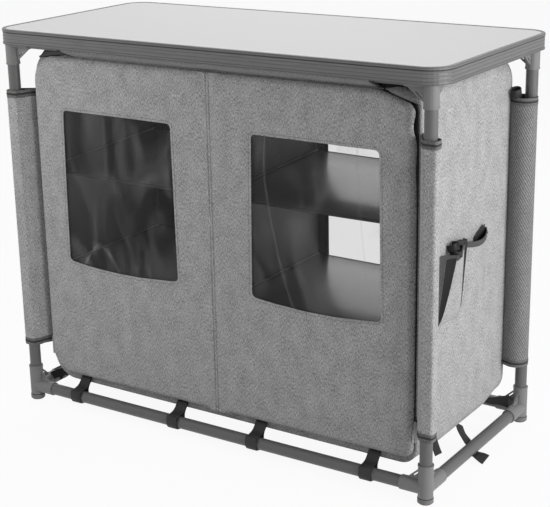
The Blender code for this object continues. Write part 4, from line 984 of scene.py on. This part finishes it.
def stitches(name, path, outward, body):
    """Grains at even steps along a path: centre + along * tangent + round * (side, outward)."""
    places = np.arange(STITCH_PITCH / 2, distances(path)[-1], STITCH_PITCH)
    centre, ahead, behind = (values_at(places + step, path, path)
                             for step in (0, STITCH_RADIUS, -STITCH_RADIUS))
    tangent = unit(ahead - behind)
    out = unit(values_at(places, path, np.broadcast_to(np.asarray(outward, float), path.shape)))
    side = np.cross(tangent, out)
    along = np.array([-0.5, -0.3, 0.3, 0.5])[:, None] * STITCH_LENGTH
    thick = np.array([0.1, 1, 1, 0.1])[:, None] * STITCH_RADIUS
    turn = np.linspace(0, 2 * math.pi, 6)[:-1][None]
    grain = np.stack([along + 0 * turn, thick * np.cos(turn), thick * np.sin(turn)], -1).reshape(-1, 3)
    frames = np.stack([tangent, side, out], 1)
    points = (centre + 0.3 * STITCH_RADIUS * out)[:, None] + np.einsum("kj,njd->nkd", grain, frames)
    ring = np.arange(5)
    quads = np.concatenate([np.stack([5 * k + ring, 5 * k + (ring + 1) % 5, 5 * k + 5 + (ring + 1) % 5,
                                      5 * k + 5 + ring], -1) for k in range(3)])
    caps = np.array([[4, 3, 2, 1, 0], [15, 16, 17, 18, 19]])
    shift = 20 * np.arange(len(places))[:, None, None]
    faces = (quads[None] + shift).reshape(-1, 4).tolist() + (caps[None] + shift).reshape(-1, 5).tolist()
    mesh = bpy.data.meshes.new(name)
    mesh.from_pydata(points.reshape(-1, 3).tolist(), [], faces)
    shape = bmesh.new()
    shape.from_mesh(mesh)
    bmesh.ops.recalc_face_normals(shape, faces=shape.faces)
    shape.to_mesh(mesh)
    shape.free()
    mesh.shade_smooth()
    mesh.uv_layers.new(name="cloth")
    mesh.materials.append(thread)
    fit_in(show(name, mesh), body, "cloth")
    return len(places)


sewn = 0
for side in (-1, 1):
    sewn += stitches("centre_stitches_" + SIDES[side], seam_path + np.array([side * 2.4 * MM, -CLOTH / 2, 0]),
                     (0, -1, 0), "cupboard")
    loop = window_loop(side, 5 * MM)
    frame_path = np.stack([loop[:, 0], door_forward(loop[:, 0], loop[:, 1], side), loop[:, 1]], 1)
    sewn += stitches("window_stitches_" + SIDES[side], frame_path, (0, -1, 0), "door_" + SIDES[side])
print("stitches so far", sewn)

# %% [markdown]
# ## Zip and pulls
#
# One zip runs round both doors, and passes behind the centre seam at the top and the bottom. Its coil is
# a cord whose thickness swells at each tooth, and it sits on a black tape. A loop of braided cord hangs
# from each slider.

# %% Zip
ZIP_INSET, ZIP_RADIUS, TOOTH_PITCH, GAP_SIZE = 2.2 * MM, 1.1 * MM, 2.6 * MM, 0.72
TAPE_OUTER, TAPE_INNER = 1 * MM, 12 * MM
TUCK, TUCK_HALF = 9 * MM, 44 * MM


def round_doors(inset, **counts):
    """An outline round both doors, moved in by an inset and, behind the seam, by a bell: exp(-(x / half)^4)."""
    loop = rounded(inset - DOOR_X, DOOR_X - inset, DOOR_BOTTOM + inset, DOOR_TOP - inset,
                   [radius - inset for radius in front_radii], **counts)
    away = np.sign(loop[:, 1] - (DOOR_TOP + DOOR_BOTTOM) / 2)
    return np.stack([loop[:, 0], loop[:, 1] - away * TUCK * np.exp(-(loop[:, 0] / TUCK_HALF) ** 4)], 1)


zip_loop = round_doors(ZIP_INSET, side_points=120, arc_points=12)
length = distances(zip_loop)[-1]
teeth = int(length / TOOTH_PITCH)
places = np.linspace(0, length, 2 * teeth + 1)
path = upright(values_at(places, zip_loop, zip_loop), ZIP_Y)
sizes = np.where(np.arange(len(places)) % 2, 1.0, GAP_SIZE)
carry("zip_coil", [(path, circle(ZIP_RADIUS, 6), (0, 1, 0), sizes)], zinc, "zip", "zip_chain")

flat = rings_between(round_doors(TAPE_OUTER), round_doors(TAPE_INNER), 4)
tape = surface("zip_tape", [flat_front(upright(flat, FRAME_FRONT_Y + 0.1 * MM))], [black_cloth_and_painted_shade], 0.4 * MM,
               (0, -1, 0))
fit_in(tape, "cupboard", "webbing", "zip_chain")
print("zip teeth", teeth)

# %% Cord pulls
PULL_RADIUS = 1.1 * MM
PULL_SHIFTS = {-1: np.array([2.2, 2, 0]) * MM, 1: np.zeros(3)}


def make_pull(side):
    """A loop: two half circles joined by straight runs, with a slow sway, as one closed path."""
    start, end = low("zip_pull_" + SIDES[side]), high("zip_pull_" + SIDES[side])
    bend = (end - start)[0] / 2 - PULL_RADIUS
    middle = (start + end) / 2 + PULL_SHIFTS[side]
    turn = np.linspace(0, 2 * math.pi, 121)
    half = (end - start)[2] / 2 - PULL_RADIUS - bend
    x = bend * np.cos(turn) * (1 + 0.25 * np.sin(turn))
    z = bend * np.sin(turn) + half * np.clip(2.2 * np.sin(turn), -1, 1)
    y = -0.5 * MM * np.cos(3 * turn) - 0.5 * MM
    path = np.stack([middle[0] + x, middle[1] + y, middle[2] + z], 1)
    carry("pull_cord_" + SIDES[side], [(path, circle(PULL_RADIUS, 8), (0, 1, 0))], cord, "cord",
          "zip_pull_" + SIDES[side], body="zip_slider_" + SIDES[side])


for side in SIDES:
    make_pull(side)

# %% [markdown]
# ## Wraps and sleeves
#
# The cabinet hangs from two cloth wraps round the top rails and is held by a sleeve round each leg. All
# are loops: an arc round the tube, and two straight runs to a seam. The loop's outline is carried along
# the tube. Black tape binds the wraps' ends, and a doubled hem darkens each end of a sleeve. The front
# right sleeve hangs loose, and the rear right one is wider still and falls in slanting folds.


# %% Loops round tubes
def loop_outline(seam, seam_radius, centre, radius, arc_points=26, side_points=10):
    """The tight band round two circles, anticlockwise: the lean is the arc cosine of (r1 - r2) / distance."""
    seam, centre = np.array(seam), np.array(centre)
    reach = np.linalg.norm(centre - seam)
    heading = math.atan2(*(centre - seam)[::-1])
    lean = math.acos((seam_radius - radius) / reach)
    turn = np.linspace(heading - lean, heading + lean, arc_points)
    round_tube = centre + radius * np.stack([np.cos(turn), np.sin(turn)], 1)
    turn = np.linspace(heading + lean, heading - lean + 2 * math.pi, 7)
    round_seam = seam + seam_radius * np.stack([np.cos(turn), np.sin(turn)], 1)
    share = np.linspace(0, 1, side_points + 2)[1:-1, None]
    there = round_tube[-1] + (round_seam[0] - round_tube[-1]) * share
    back = round_seam[-1] + (round_tube[0] - round_seam[-1]) * share
    return np.concatenate([round_tube, there, round_seam, back, round_tube[:1]])


SEAM_RADIUS = 1.2 * MM
HEM_RISE = 0.35 * MM
WRAP_BINDING, WRAP_INSET = 9 * MM, 22 * MM
wrap_start, wrap_end = low("rail_wrap_front")[0] + WRAP_INSET, high("rail_wrap_front")[0]


# %% Rail wraps
def wrap_grid(side, grow, x):
    """A wrap's outline in depth and height at each x, grown by a distance."""
    node = "rail_wrap_front" if side < 0 else "rail_wrap_rear"
    seam_y = FRAME_FRONT_Y - 1.5 * MM if side < 0 else low(node)[1] + SEAM_RADIUS
    seam = (seam_y, low(node)[2] + SEAM_RADIUS)
    radius = high(node)[2] - TOP_RAIL_Z
    loop = loop_outline(seam, SEAM_RADIUS + grow, (side * LEG_Y, TOP_RAIL_Z), radius + grow)
    x = np.asarray(x)[:, None]
    y, z = loop[None, :, 0] + 0 * x, loop[None, :, 1] + 0 * x
    return np.stack([x + 0 * y, y, z], -1)


def make_wrap(side):
    """The wrap and the black tape round each of its ends."""
    name = "front" if side < 0 else "rear"
    points = wrap_grid(side, 0.0, np.linspace(wrap_start, wrap_end, 60))
    # The wraps take the darker cloth, as painted shade under the worktop.
    wrap = surface("rail_wrap_cloth_" + name, [along_first(points)], [shaded_heather_cloth, lining], 0.8 * MM,
                   closed=True)
    fit_in(wrap, "cupboard", "cloth", "rail_wrap_" + name)
    for end, x in (("left", wrap_start), ("right", wrap_end)):
        inward = np.sign(-x) * WRAP_BINDING
        points = wrap_grid(side, HEM_RISE, np.linspace(x - 0.02 * inward, x + inward, 4))
        tape = surface("rail_wrap_%s_binding_%s" % (name, end), [along_first(points)], [binding, binding],
                       1.3 * MM, closed=True)
        fit_in(tape, "cupboard", "webbing")


make_wrap(-1)
make_wrap(1)

# %% Dark lining and painted shade at the left corner
x = np.linspace(14 * MM - BODY_X, wrap_start + 2 * MM, 20)
foot = CABINET_TOP - np.interp(x, [x[0], x[-1]], [17 * MM, 5 * MM])
head = CABINET_TOP + 1 * MM - 14 * MM * smooth(1 - (x - x[0]) / (18 * MM))
share = np.linspace(0, 1, 6)[:, None]
points = np.stack([x + 0 * share, FRAME_FRONT_Y - 1.2 * MM - 1.5 * MM * np.sin(math.pi * share) + 0 * x,
                   foot + (head - foot) * share], -1)
# A sheet of dark lining at the wrap's open end: its dark inside, with painted shade on the surround's corner.
left_shade_sheet = surface("left_corner_shade", [flat_front(points)], [lining] * 2, 0.8 * MM, (0, -1, 0))
fit_in(left_shade_sheet, "cupboard", "lining")

# %% Leg sleeves
SLEEVE_HEM = 15 * MM
SLEEVE_WALL = 0.8 * MM
SQUARENESS = 6
# How far a sleeve is set in along X and Y, how much wider it is, how far it hangs out, and how square it is.
AT_LEG = (0, 0, 0, 5 * MM, 1)
LOOSE = {(1, 1): (9 * MM, 8 * MM, 10.5 * MM, 0, 0), (1, -1): (-4 * MM, 0, 0, 9 * MM, 1)}
# The height, slope, width and depth of the rear right sleeve's folds, in millimetres.
SLANTING_FOLDS = ((170, 90, 16, 2.2), (205, 110, 20, 1.8), (150, 60, 14, 1.6), (300, 130, 26, 1.2))


def sleeve_grid(side_x, side_y, grow, z):
    """The loop round a leg and its seam on the wall, at each height, with small upright creases.

    Its outer corner is squared by (|cos a|^p + |sin a|^p)^(-1/p), and its side hangs out by a sine.
    """
    node = "leg_sleeve_%s_%s" % ("front" if side_y < 0 else "rear", SIDES[side_x])
    radius = (high(node)[0] - LEG_X) if side_x > 0 else (-LEG_X - low(node)[0])
    end_y = WALL_FRONT_Y if side_y < 0 else WALL_REAR_Y
    seam = (side_x * (BODY_X + 0.3 * MM + SEAM_RADIUS), end_y - side_y * 2.3 * MM)
    set_in_x, set_in_y, wider, hanging, squared = LOOSE.get((side_x, side_y), AT_LEG)
    centre = (side_x * (LEG_X - set_in_x), side_y * (LEG_Y - set_in_y))
    loop = loop_outline(seam, SEAM_RADIUS + grow, centre, radius + wider + grow)
    run = np.array(centre) - np.array(seam)
    along = (loop - seam) @ run / (run @ run)
    turn = np.arctan2(*(loop - centre).T[::-1])
    square = (np.abs(np.cos(turn)) ** SQUARENESS + np.abs(np.sin(turn)) ** SQUARENESS) ** (-1 / SQUARENESS) - 1
    square = squared * square * smooth((along - 0.5) / 0.4) * smooth(0.5 + 1.5 * side_y * np.sin(turn))
    loop = centre + (loop - centre) * (1 + square)[:, None]
    outside = unit(loop - loop[:-1].mean(0))
    hang_out = hanging * np.sin(math.pi * np.clip(along, 0, 1)) * np.clip(1.5 * side_y * outside[:, 1], 0, 1)
    loop = loop + hang_out[:, None] * outside
    z = np.asarray(z)[:, None]
    share = np.linspace(0, 1, len(loop))[None]
    crease = 0.35 * MM * np.sin(2 * math.pi * (2 * share + z / 0.21)) * np.sin(2 * math.pi * z / 0.37 + side_x)
    crease = np.maximum(crease, 0)
    if (side_x, side_y) == (1, 1):
        held = (0.6 + 0.4 * np.sin(9 * share)) * np.sin(math.pi * share)
        for height, slope, wide, deep in SLANTING_FOLDS:
            drop = (z - height * MM + slope * MM * (share - 0.75) * 4) / (wide * MM)
            crease = crease + deep * MM * np.exp(-drop ** 2) * held
    away = unit(loop - loop[:-1].mean(0))[None]
    crease = crease * np.clip(-1.4 * away[..., 1] * side_y, 0, 1)
    flat = loop[None] + crease[..., None] * away
    return np.concatenate([flat, z[..., None] + 0 * flat[..., :1]], -1)


def make_sleeve(side_x, side_y):
    """The sleeve, a doubled hem at each end, and a row of stitches along each hem."""
    name = "%s_%s" % ("front" if side_y < 0 else "rear", SIDES[side_x])
    node = "leg_sleeve_" + name
    bottom, top = low(node)[2], high(node)[2]
    points = sleeve_grid(side_x, side_y, 0.0, np.linspace(bottom, top, 90))
    cloth = shaded_bias_cloth if (side_x, side_y) == (1, 1) else heather_cloth
    sleeve = surface("leg_sleeve_cloth_" + name, [along_first(points)], [cloth, lining], SLEEVE_WALL,
                     closed=True)
    fit_in(sleeve, "cupboard", "cloth", node)
    count = 0
    for end, z0, z1 in (("bottom", bottom, bottom + SLEEVE_HEM), ("top", top - SLEEVE_HEM, top)):
        points = sleeve_grid(side_x, side_y, HEM_RISE, np.linspace(z0 - 0.1 * MM, z1 + 0.1 * MM, 6))
        hem = surface("leg_sleeve_hem_%s_%s" % (end, name), [along_first(points)], [hem_cloth, lining],
                      SLEEVE_WALL + HEM_RISE, closed=True)
        fit_in(hem, "cupboard", "cloth")
        middle = (z0 + z1) / 2
        points = sleeve_grid(side_x, side_y, 2 * HEM_RISE, np.linspace(middle - 2 * MM, middle + 2 * MM, 3))
        tape = surface("leg_sleeve_tape_%s_%s" % (end, name), [along_first(points)], [binding, binding],
                       0.5 * MM, closed=True)
        fit_in(tape, "cupboard", "webbing")
        row = sleeve_grid(side_x, side_y, HEM_RISE, [z1 - 3 * MM if end == "bottom" else z0 + 3 * MM])[0]
        away = unit((row - row[:-1].mean(0)) * np.array([1, 1, 0]))
        count += stitches("leg_sleeve_stitches_%s_%s" % (end, name), row, away, "cupboard")
    return count


print("hem stitches", sum(make_sleeve(side_x, side_y) for side_y in (-1, 1) for side_x in (-1, 1)))

# %% A curl of tape
CURL_RADIUS, CURL_HEIGHT = 10 * MM, 17 * MM
turn = np.linspace(-0.9 * math.pi, 0.9 * math.pi, 40)
middle = np.array([BODY_X + 12 * MM, WALL_REAR_Y - 6 * MM, high("leg_sleeve_rear_right")[2] + 9 * MM])
path = middle + CURL_RADIUS * np.stack([np.cos(turn), np.sin(turn), 0.3 * np.sin(turn)], 1)
carry("sleeve_curl", [(path, strap_section(CURL_HEIGHT, 1.2 * MM), (0, -0.3, 1))], webbing, "webbing")

# %% [markdown]
# ## Webbing straps
#
# The straps are 25 mm webbing. Four loop round the front rail and one round the left rail, each with a
# short free tab. On the right, one strap hangs free. The other leaves the cabinet on edge, twists as it
# drops, passes under the rail and ends in a tail that lifts a little. Two short straps run in to the
# lower corners at the front left and the rear right.


# %% A curve through points
def curve_through(points, count):
    """A smooth curve through points: each coordinate is a cubic Hermite with Catmull-Rom slopes."""
    points = np.array(points, float)
    slopes = np.gradient(points, axis=0)
    place = np.linspace(0, len(points) - 1, count)
    k = np.minimum(place.astype(int), len(points) - 2)
    t = (place - k)[:, None]
    return ((2 * t ** 3 - 3 * t ** 2 + 1) * points[k] + (t ** 3 - 2 * t ** 2 + t) * slopes[k]
            + (3 * t ** 2 - 2 * t ** 3) * points[k + 1] + (t ** 3 - t ** 2) * slopes[k + 1])


# %% Looped straps
STRAP_WIDTH, WEBBING = 25 * MM, 1.4 * MM
TAB_LIFT, TAB_POINTS, WAIST = 4 * MM, 18, 0.7


def make_loop_strap(node, seam, rail, across):
    """A closed loop round a rail with a tab, which leaves the loop's outer side by a smooth step.

    The seam and the rail are points in the loop's plane, and across is the axis that the plane faces.
    """
    loop = loop_outline(seam, SEAM_RADIUS, rail, TUBE_RADIUS + 0.5 * MM + WEBBING / 2, 34, 12)
    run = np.array(rail) - seam
    along = (loop - seam) @ run / (run @ run)
    beside = loop - seam - along[:, None] * run
    loop = loop - WAIST * np.sin(math.pi * np.clip(along / 0.75, 0, 1))[:, None] * beside
    middle = ((low(node) + high(node)) / 2)[across]
    path = np.insert(loop, across, middle, axis=1)
    away = unit(path - np.insert(np.array(rail), across, middle))
    order = slice(None, None, -1 if across else 1)
    share = np.linspace(1, 0, TAB_POINTS)[:, None]
    lift = WEBBING * 1.05 + TAB_LIFT * smooth((share - 0.55) / 0.45)
    tab = path[:TAB_POINTS][order] + away[:TAB_POINTS][order] * lift
    runs = [(line, strap_section(STRAP_WIDTH, WEBBING), np.eye(3)[across]) for line in (path, tab)]
    carry(node + "_webbing", runs, webbing, "webbing", node)


for number in range(1, 5):
    node = "front_strap_%d" % number
    make_loop_strap(node, high(node)[1:] - SEAM_RADIUS, (-LEG_Y, BOTTOM_RAIL_Z), 0)
node = "side_strap_left"
make_loop_strap(node, high(node)[::2] - SEAM_RADIUS, (-LEG_X, BOTTOM_RAIL_Z), 1)

# %% Corner straps
# Each has its points and its width in millimetres, and the share of the width that its far end keeps.
CORNER_STRAPS = {"left": ([(-462, -172, 38), (-448, -164, 45), (-430, -152, 50), (-418, -146, 54)], 17, 1.0),
                 "right": ([(455, 186, 47), (440, 182, 47), (422, 174, 46), (404, 164, 50)], 25, 0.3)}
# The corner straps take the darker webbing, as painted shade.
for name, (places, width, end_size) in CORNER_STRAPS.items():
    path = curve_through(np.array(places) * MM, 30)
    run = (path, strap_section(width * MM, WEBBING), (0, 0.35, 1), np.linspace(1, end_size, 30))
    carry("corner_strap_" + name, [run], shaded_webbing, "webbing")

# %% Loose straps
start, end = low("side_strap_right_middle"), high("side_strap_right_middle")
strap_y = end[1] - STRAP_WIDTH / 2
under = TUBE_RADIUS + 1.0 * MM + WEBBING / 2
section = strap_section(STRAP_WIDTH, WEBBING)
places = [(start[0], strap_y + 10 * MM, end[2] - WEBBING / 2), (start[0] + 14 * MM, strap_y - 4 * MM, 41 * MM),
          (LEG_X - under, strap_y - 18 * MM, BOTTOM_RAIL_Z - 1 * MM),
          (LEG_X - 0.7 * under, strap_y - 23 * MM, BOTTOM_RAIL_Z - 0.72 * under),
          (LEG_X, strap_y - 26 * MM, BOTTOM_RAIL_Z - under),
          (LEG_X + 13 * MM, strap_y - 28 * MM, BOTTOM_RAIL_Z - 1.2 * under),
          (end[0] - 1.5 * MM, strap_y - 29 * MM, BOTTOM_RAIL_Z - 1.5 * under)]
share = np.linspace(0, 1, 70)
turn = math.radians(62) * (1 - smooth(share / 0.45))
side = np.stack([0.6 * np.sin(turn), np.cos(turn), -0.8 * np.sin(turn)], 1)
side[:, 2] += 0.55 * smooth((share - 0.7) / 0.3)
carry("side_strap_right_middle_webbing", [(curve_through(places, 70), section, side)], webbing, "webbing",
      "side_strap_right_middle")

start, end = low("side_strap_right_front"), high("side_strap_right_front")
middle_y = (start[1] + end[1]) / 2
places = [(BODY_X + 0.5 * MM, middle_y - 12 * MM, end[2] + 28 * MM),
          (BODY_X + 4 * MM, middle_y - 12 * MM, end[2] + 18 * MM),
          (BODY_X + 8 * MM, middle_y - 12 * MM, end[2] + 8 * MM),
          (BODY_X + 12 * MM, middle_y - 13 * MM, end[2] + 1 * MM)]
# This strap takes the darker webbing, as painted shade.
carry("side_strap_right_front_webbing", [(curve_through(places, 40), section, (0, 1, 0))], shaded_webbing,
      "webbing", "side_strap_right_front")

# %% [markdown]
# ## Utensil pockets
#
# Three pockets are pleated on to the right wall. They stand proud at the mouth and run out into the wall
# below. The first is shallow, and its cloth turns outward into a fold drawn darker as painted shade. From
# there the middle one stands out on a near-black gusset, dark lining with painted shade, which narrows to a
# point as the seam slants forward. The last swells in a curve that is fuller than a sine. Grey tape binds
# the mouths, and behind them gathered black lining stands for the lining and the painted shade inside.

# %% Pocket fronts
POCKET_START, GUSSET_Y, SLIT_Y, POCKET_END = -158 * MM, -84 * MM, -30 * MM, 82 * MM
POCKET_BOTTOM, POCKET_TOP = low("side_pocket")[2], 441 * MM
GUSSET_SLANT, GUSSET_DEPTH, GUSSET_EDGE = 33 * MM, 23 * MM, 9 * MM
GUSSET_TURN = 26 * MM
POCKET_CLOTH = 1 * MM


def on_wall(depth, out):
    """Points proud of the bulging wall: its face is BODY_X + bulge * sine squared across the depth."""
    across = (depth - WALL_FRONT_Y) / (WALL_REAR_Y - WALL_FRONT_Y)
    return BODY_X + WALL_BULGE * np.sin(math.pi * np.clip(across, 0, 1)) ** 2 + out


def pocket_patch(near, far, out, mouth, rise, lift=0.0, ups=None, count=28):
    """A pocket's front: near, far, out and mouth are functions, and it stands out by a power of its height."""
    up = (np.linspace(0, 1, 30) if ups is None else np.asarray(ups))[:, None]
    share = np.linspace(0, 1, count)[None]
    depth = near(up) + (far(up) - near(up)) * share
    z = POCKET_BOTTOM + (mouth(share) - POCKET_BOTTOM) * up
    proud = POCKET_CLOTH * smooth(6 * up) - 0.8 * MM * smooth(1 - 6 * up) + out(share) * up ** rise + lift
    return np.stack([on_wall(depth, proud), depth, z], -1)


def gusset_seam(up):
    """Where the gusset leaves the wall: it slants forward towards the bottom."""
    return GUSSET_Y - GUSSET_SLANT * (1 - up)


def fold_seam(up):
    """Where the first pocket's cloth turns outward, ahead of the gusset's seam."""
    return gusset_seam(up) - GUSSET_TURN * up ** 0.6


def at(depth):
    """A seam that runs straight up at one depth."""
    return lambda up: depth + 0 * up


def fullness(height, power):
    """How far a pocket stands out between its seams: a sine raised to a power."""
    return lambda share: height * np.sin(math.pi * np.clip(share, 0, 1)) ** power


# Each pocket has its near seam, far seam, how far it stands out, its mouth, and the power of its rise.
POCKETS = {
    "first": (at(POCKET_START), fold_seam, fullness(10 * MM, 0.9),
              lambda share: POCKET_TOP + (9 - 16 * share) * MM, 1.2),
    "middle": (gusset_seam, at(SLIT_Y),
               lambda share: (GUSSET_DEPTH + (GUSSET_EDGE - GUSSET_DEPTH) * smooth(share)
                              + 2 * MM * np.sin(math.pi * share)),
               lambda share: POCKET_TOP - (6 - 8 * share) * MM, 0.5),
    "last": (at(SLIT_Y), at(POCKET_END), fullness(16 * MM, 0.75),
             lambda share: POCKET_TOP + 2 * MM - 8 * MM * np.sin(math.pi * share), 1.2),
}
patches = [flat_side(pocket_patch(*shape)) for shape in POCKETS.values()]
pocket = surface("pocket_cloth", patches, [heather_cloth, lining], 0.8 * MM, (1, 0, 0))
fit_in(pocket, "cupboard", "cloth", "side_pocket")

# %% Gusset and pleat
FOLD_COLUMN = 14  # the column where the painted fold shade ends and the gusset starts
mouth, rise = POCKETS["middle"][3:]
fold = (fold_seam, gusset_seam, lambda share: GUSSET_DEPTH * share ** 2.2, lambda share: mouth(0 * share), rise)
gusset = pocket_patch(*fold, count=24)
gusset[..., 1] -= 0.4 * MM
bend = surface("pocket_bend", [flat_side(gusset[:, :FOLD_COLUMN + 1])], [painted_fold_shade_cloth, lining], 0.8 * MM,
               (1, -1, 0))
fit_in(bend, "cupboard", "cloth")
edge_out, last_mouth, last_rise = POCKETS["last"][2:]
slit = pocket_patch(POCKETS["last"][0], lambda up: SLIT_Y + 0.3 * MM + 12 * MM * up ** 0.4,
                    lambda share: edge_out(share * 0.1) + 1 * MM, last_mouth, last_rise, 1.2 * MM,
                    np.linspace(0.12, 1, 24), 5)
# The gusset and the slit: dark lining with painted shade.
pleat = surface("pocket_pleats", [flat_side(gusset[:, FOLD_COLUMN:]), flat_side(slit)], [gusset_lining_and_shade] * 2,
                0.5 * MM, (1, -1, 0))
fit_in(pleat, "cupboard", "cloth")

# %% Mouths
MOUTH_TAPE = 11 * MM
below_rim = np.array([0, 0, MOUTH_TAPE / 2 - 1.5 * MM])
section = strap_section(MOUTH_TAPE, 2.0 * MM)
runs = [(pocket_patch(*shape, 0.2 * MM, [1.0])[0] - below_rim, section, (0, 0, 1))
        for shape in [*POCKETS.values(), fold]]
carry("pocket_tape", runs, mouth_tape, "webbing")

# %% The flap and the gathers behind the mouths: black lining and painted shade inside them
# The flap and the gathers are black: the lining, and painted shade inside the mouths.
FLAP_DEPTHS = np.array([28, 44, 60, 69, 77, 82, 91, 93]) * MM
FLAP_HEIGHTS = np.array([437, 444, 451, 453.5, 444, 441, 444, 430]) * MM
FLAP_FOOT = 428 * MM
depth = np.linspace(FLAP_DEPTHS[0], FLAP_DEPTHS[-1], 40)
top = np.interp(depth, FLAP_DEPTHS, FLAP_HEIGHTS)
share = np.linspace(0, 1, 8)[:, None]
z = FLAP_FOOT + (top - FLAP_FOOT) * share
x = on_wall(depth, 2 * MM + 0 * depth)[None] + 3 * MM * share * np.sin(depth / (8 * MM))
flap = surface("pocket_flap", [flat_side(np.stack([x, depth + 0 * z, z], -1))], [black_cloth_and_painted_shade] * 2,
               0.8 * MM, (1, 0, 0))
fit_in(flap, "cupboard", "cloth")

# Each gather has its points (out from the wall, depth, height) and its width, in millimetres.
GATHERS = (([(1, -84, 444), (9, -85, 447), (16, -82, 450), (15, -74, 449), (6, -68, 448), (1, -66, 448)], 13),
           ([(4, -80, 436), (16, -84, 438), (25, -77, 436), (22, -67, 434), (12, -66, 436)], 10),
           ([(6, -70, 452), (14, -70, 454), (20, -60, 453), (15, -50, 450), (6, -50, 449)], 9),
           ([(6, -46, 448), (13, -45, 450), (17, -36, 448), (12, -27, 446), (4, -26, 446)], 9))
wobble = np.stack([0.25 * np.sin(np.linspace(0, 9, 40)), np.zeros(40), np.ones(40)], 1)
runs = []
for places, width in GATHERS:
    path = curve_through(np.array(places) * MM + np.array([BODY_X + WALL_BULGE, 0, 0]), 40)
    runs.append((path, strap_section(width * MM, 1.2 * MM), wobble))
carry("pocket_gathers", runs, black_cloth_and_painted_shade, "webbing")
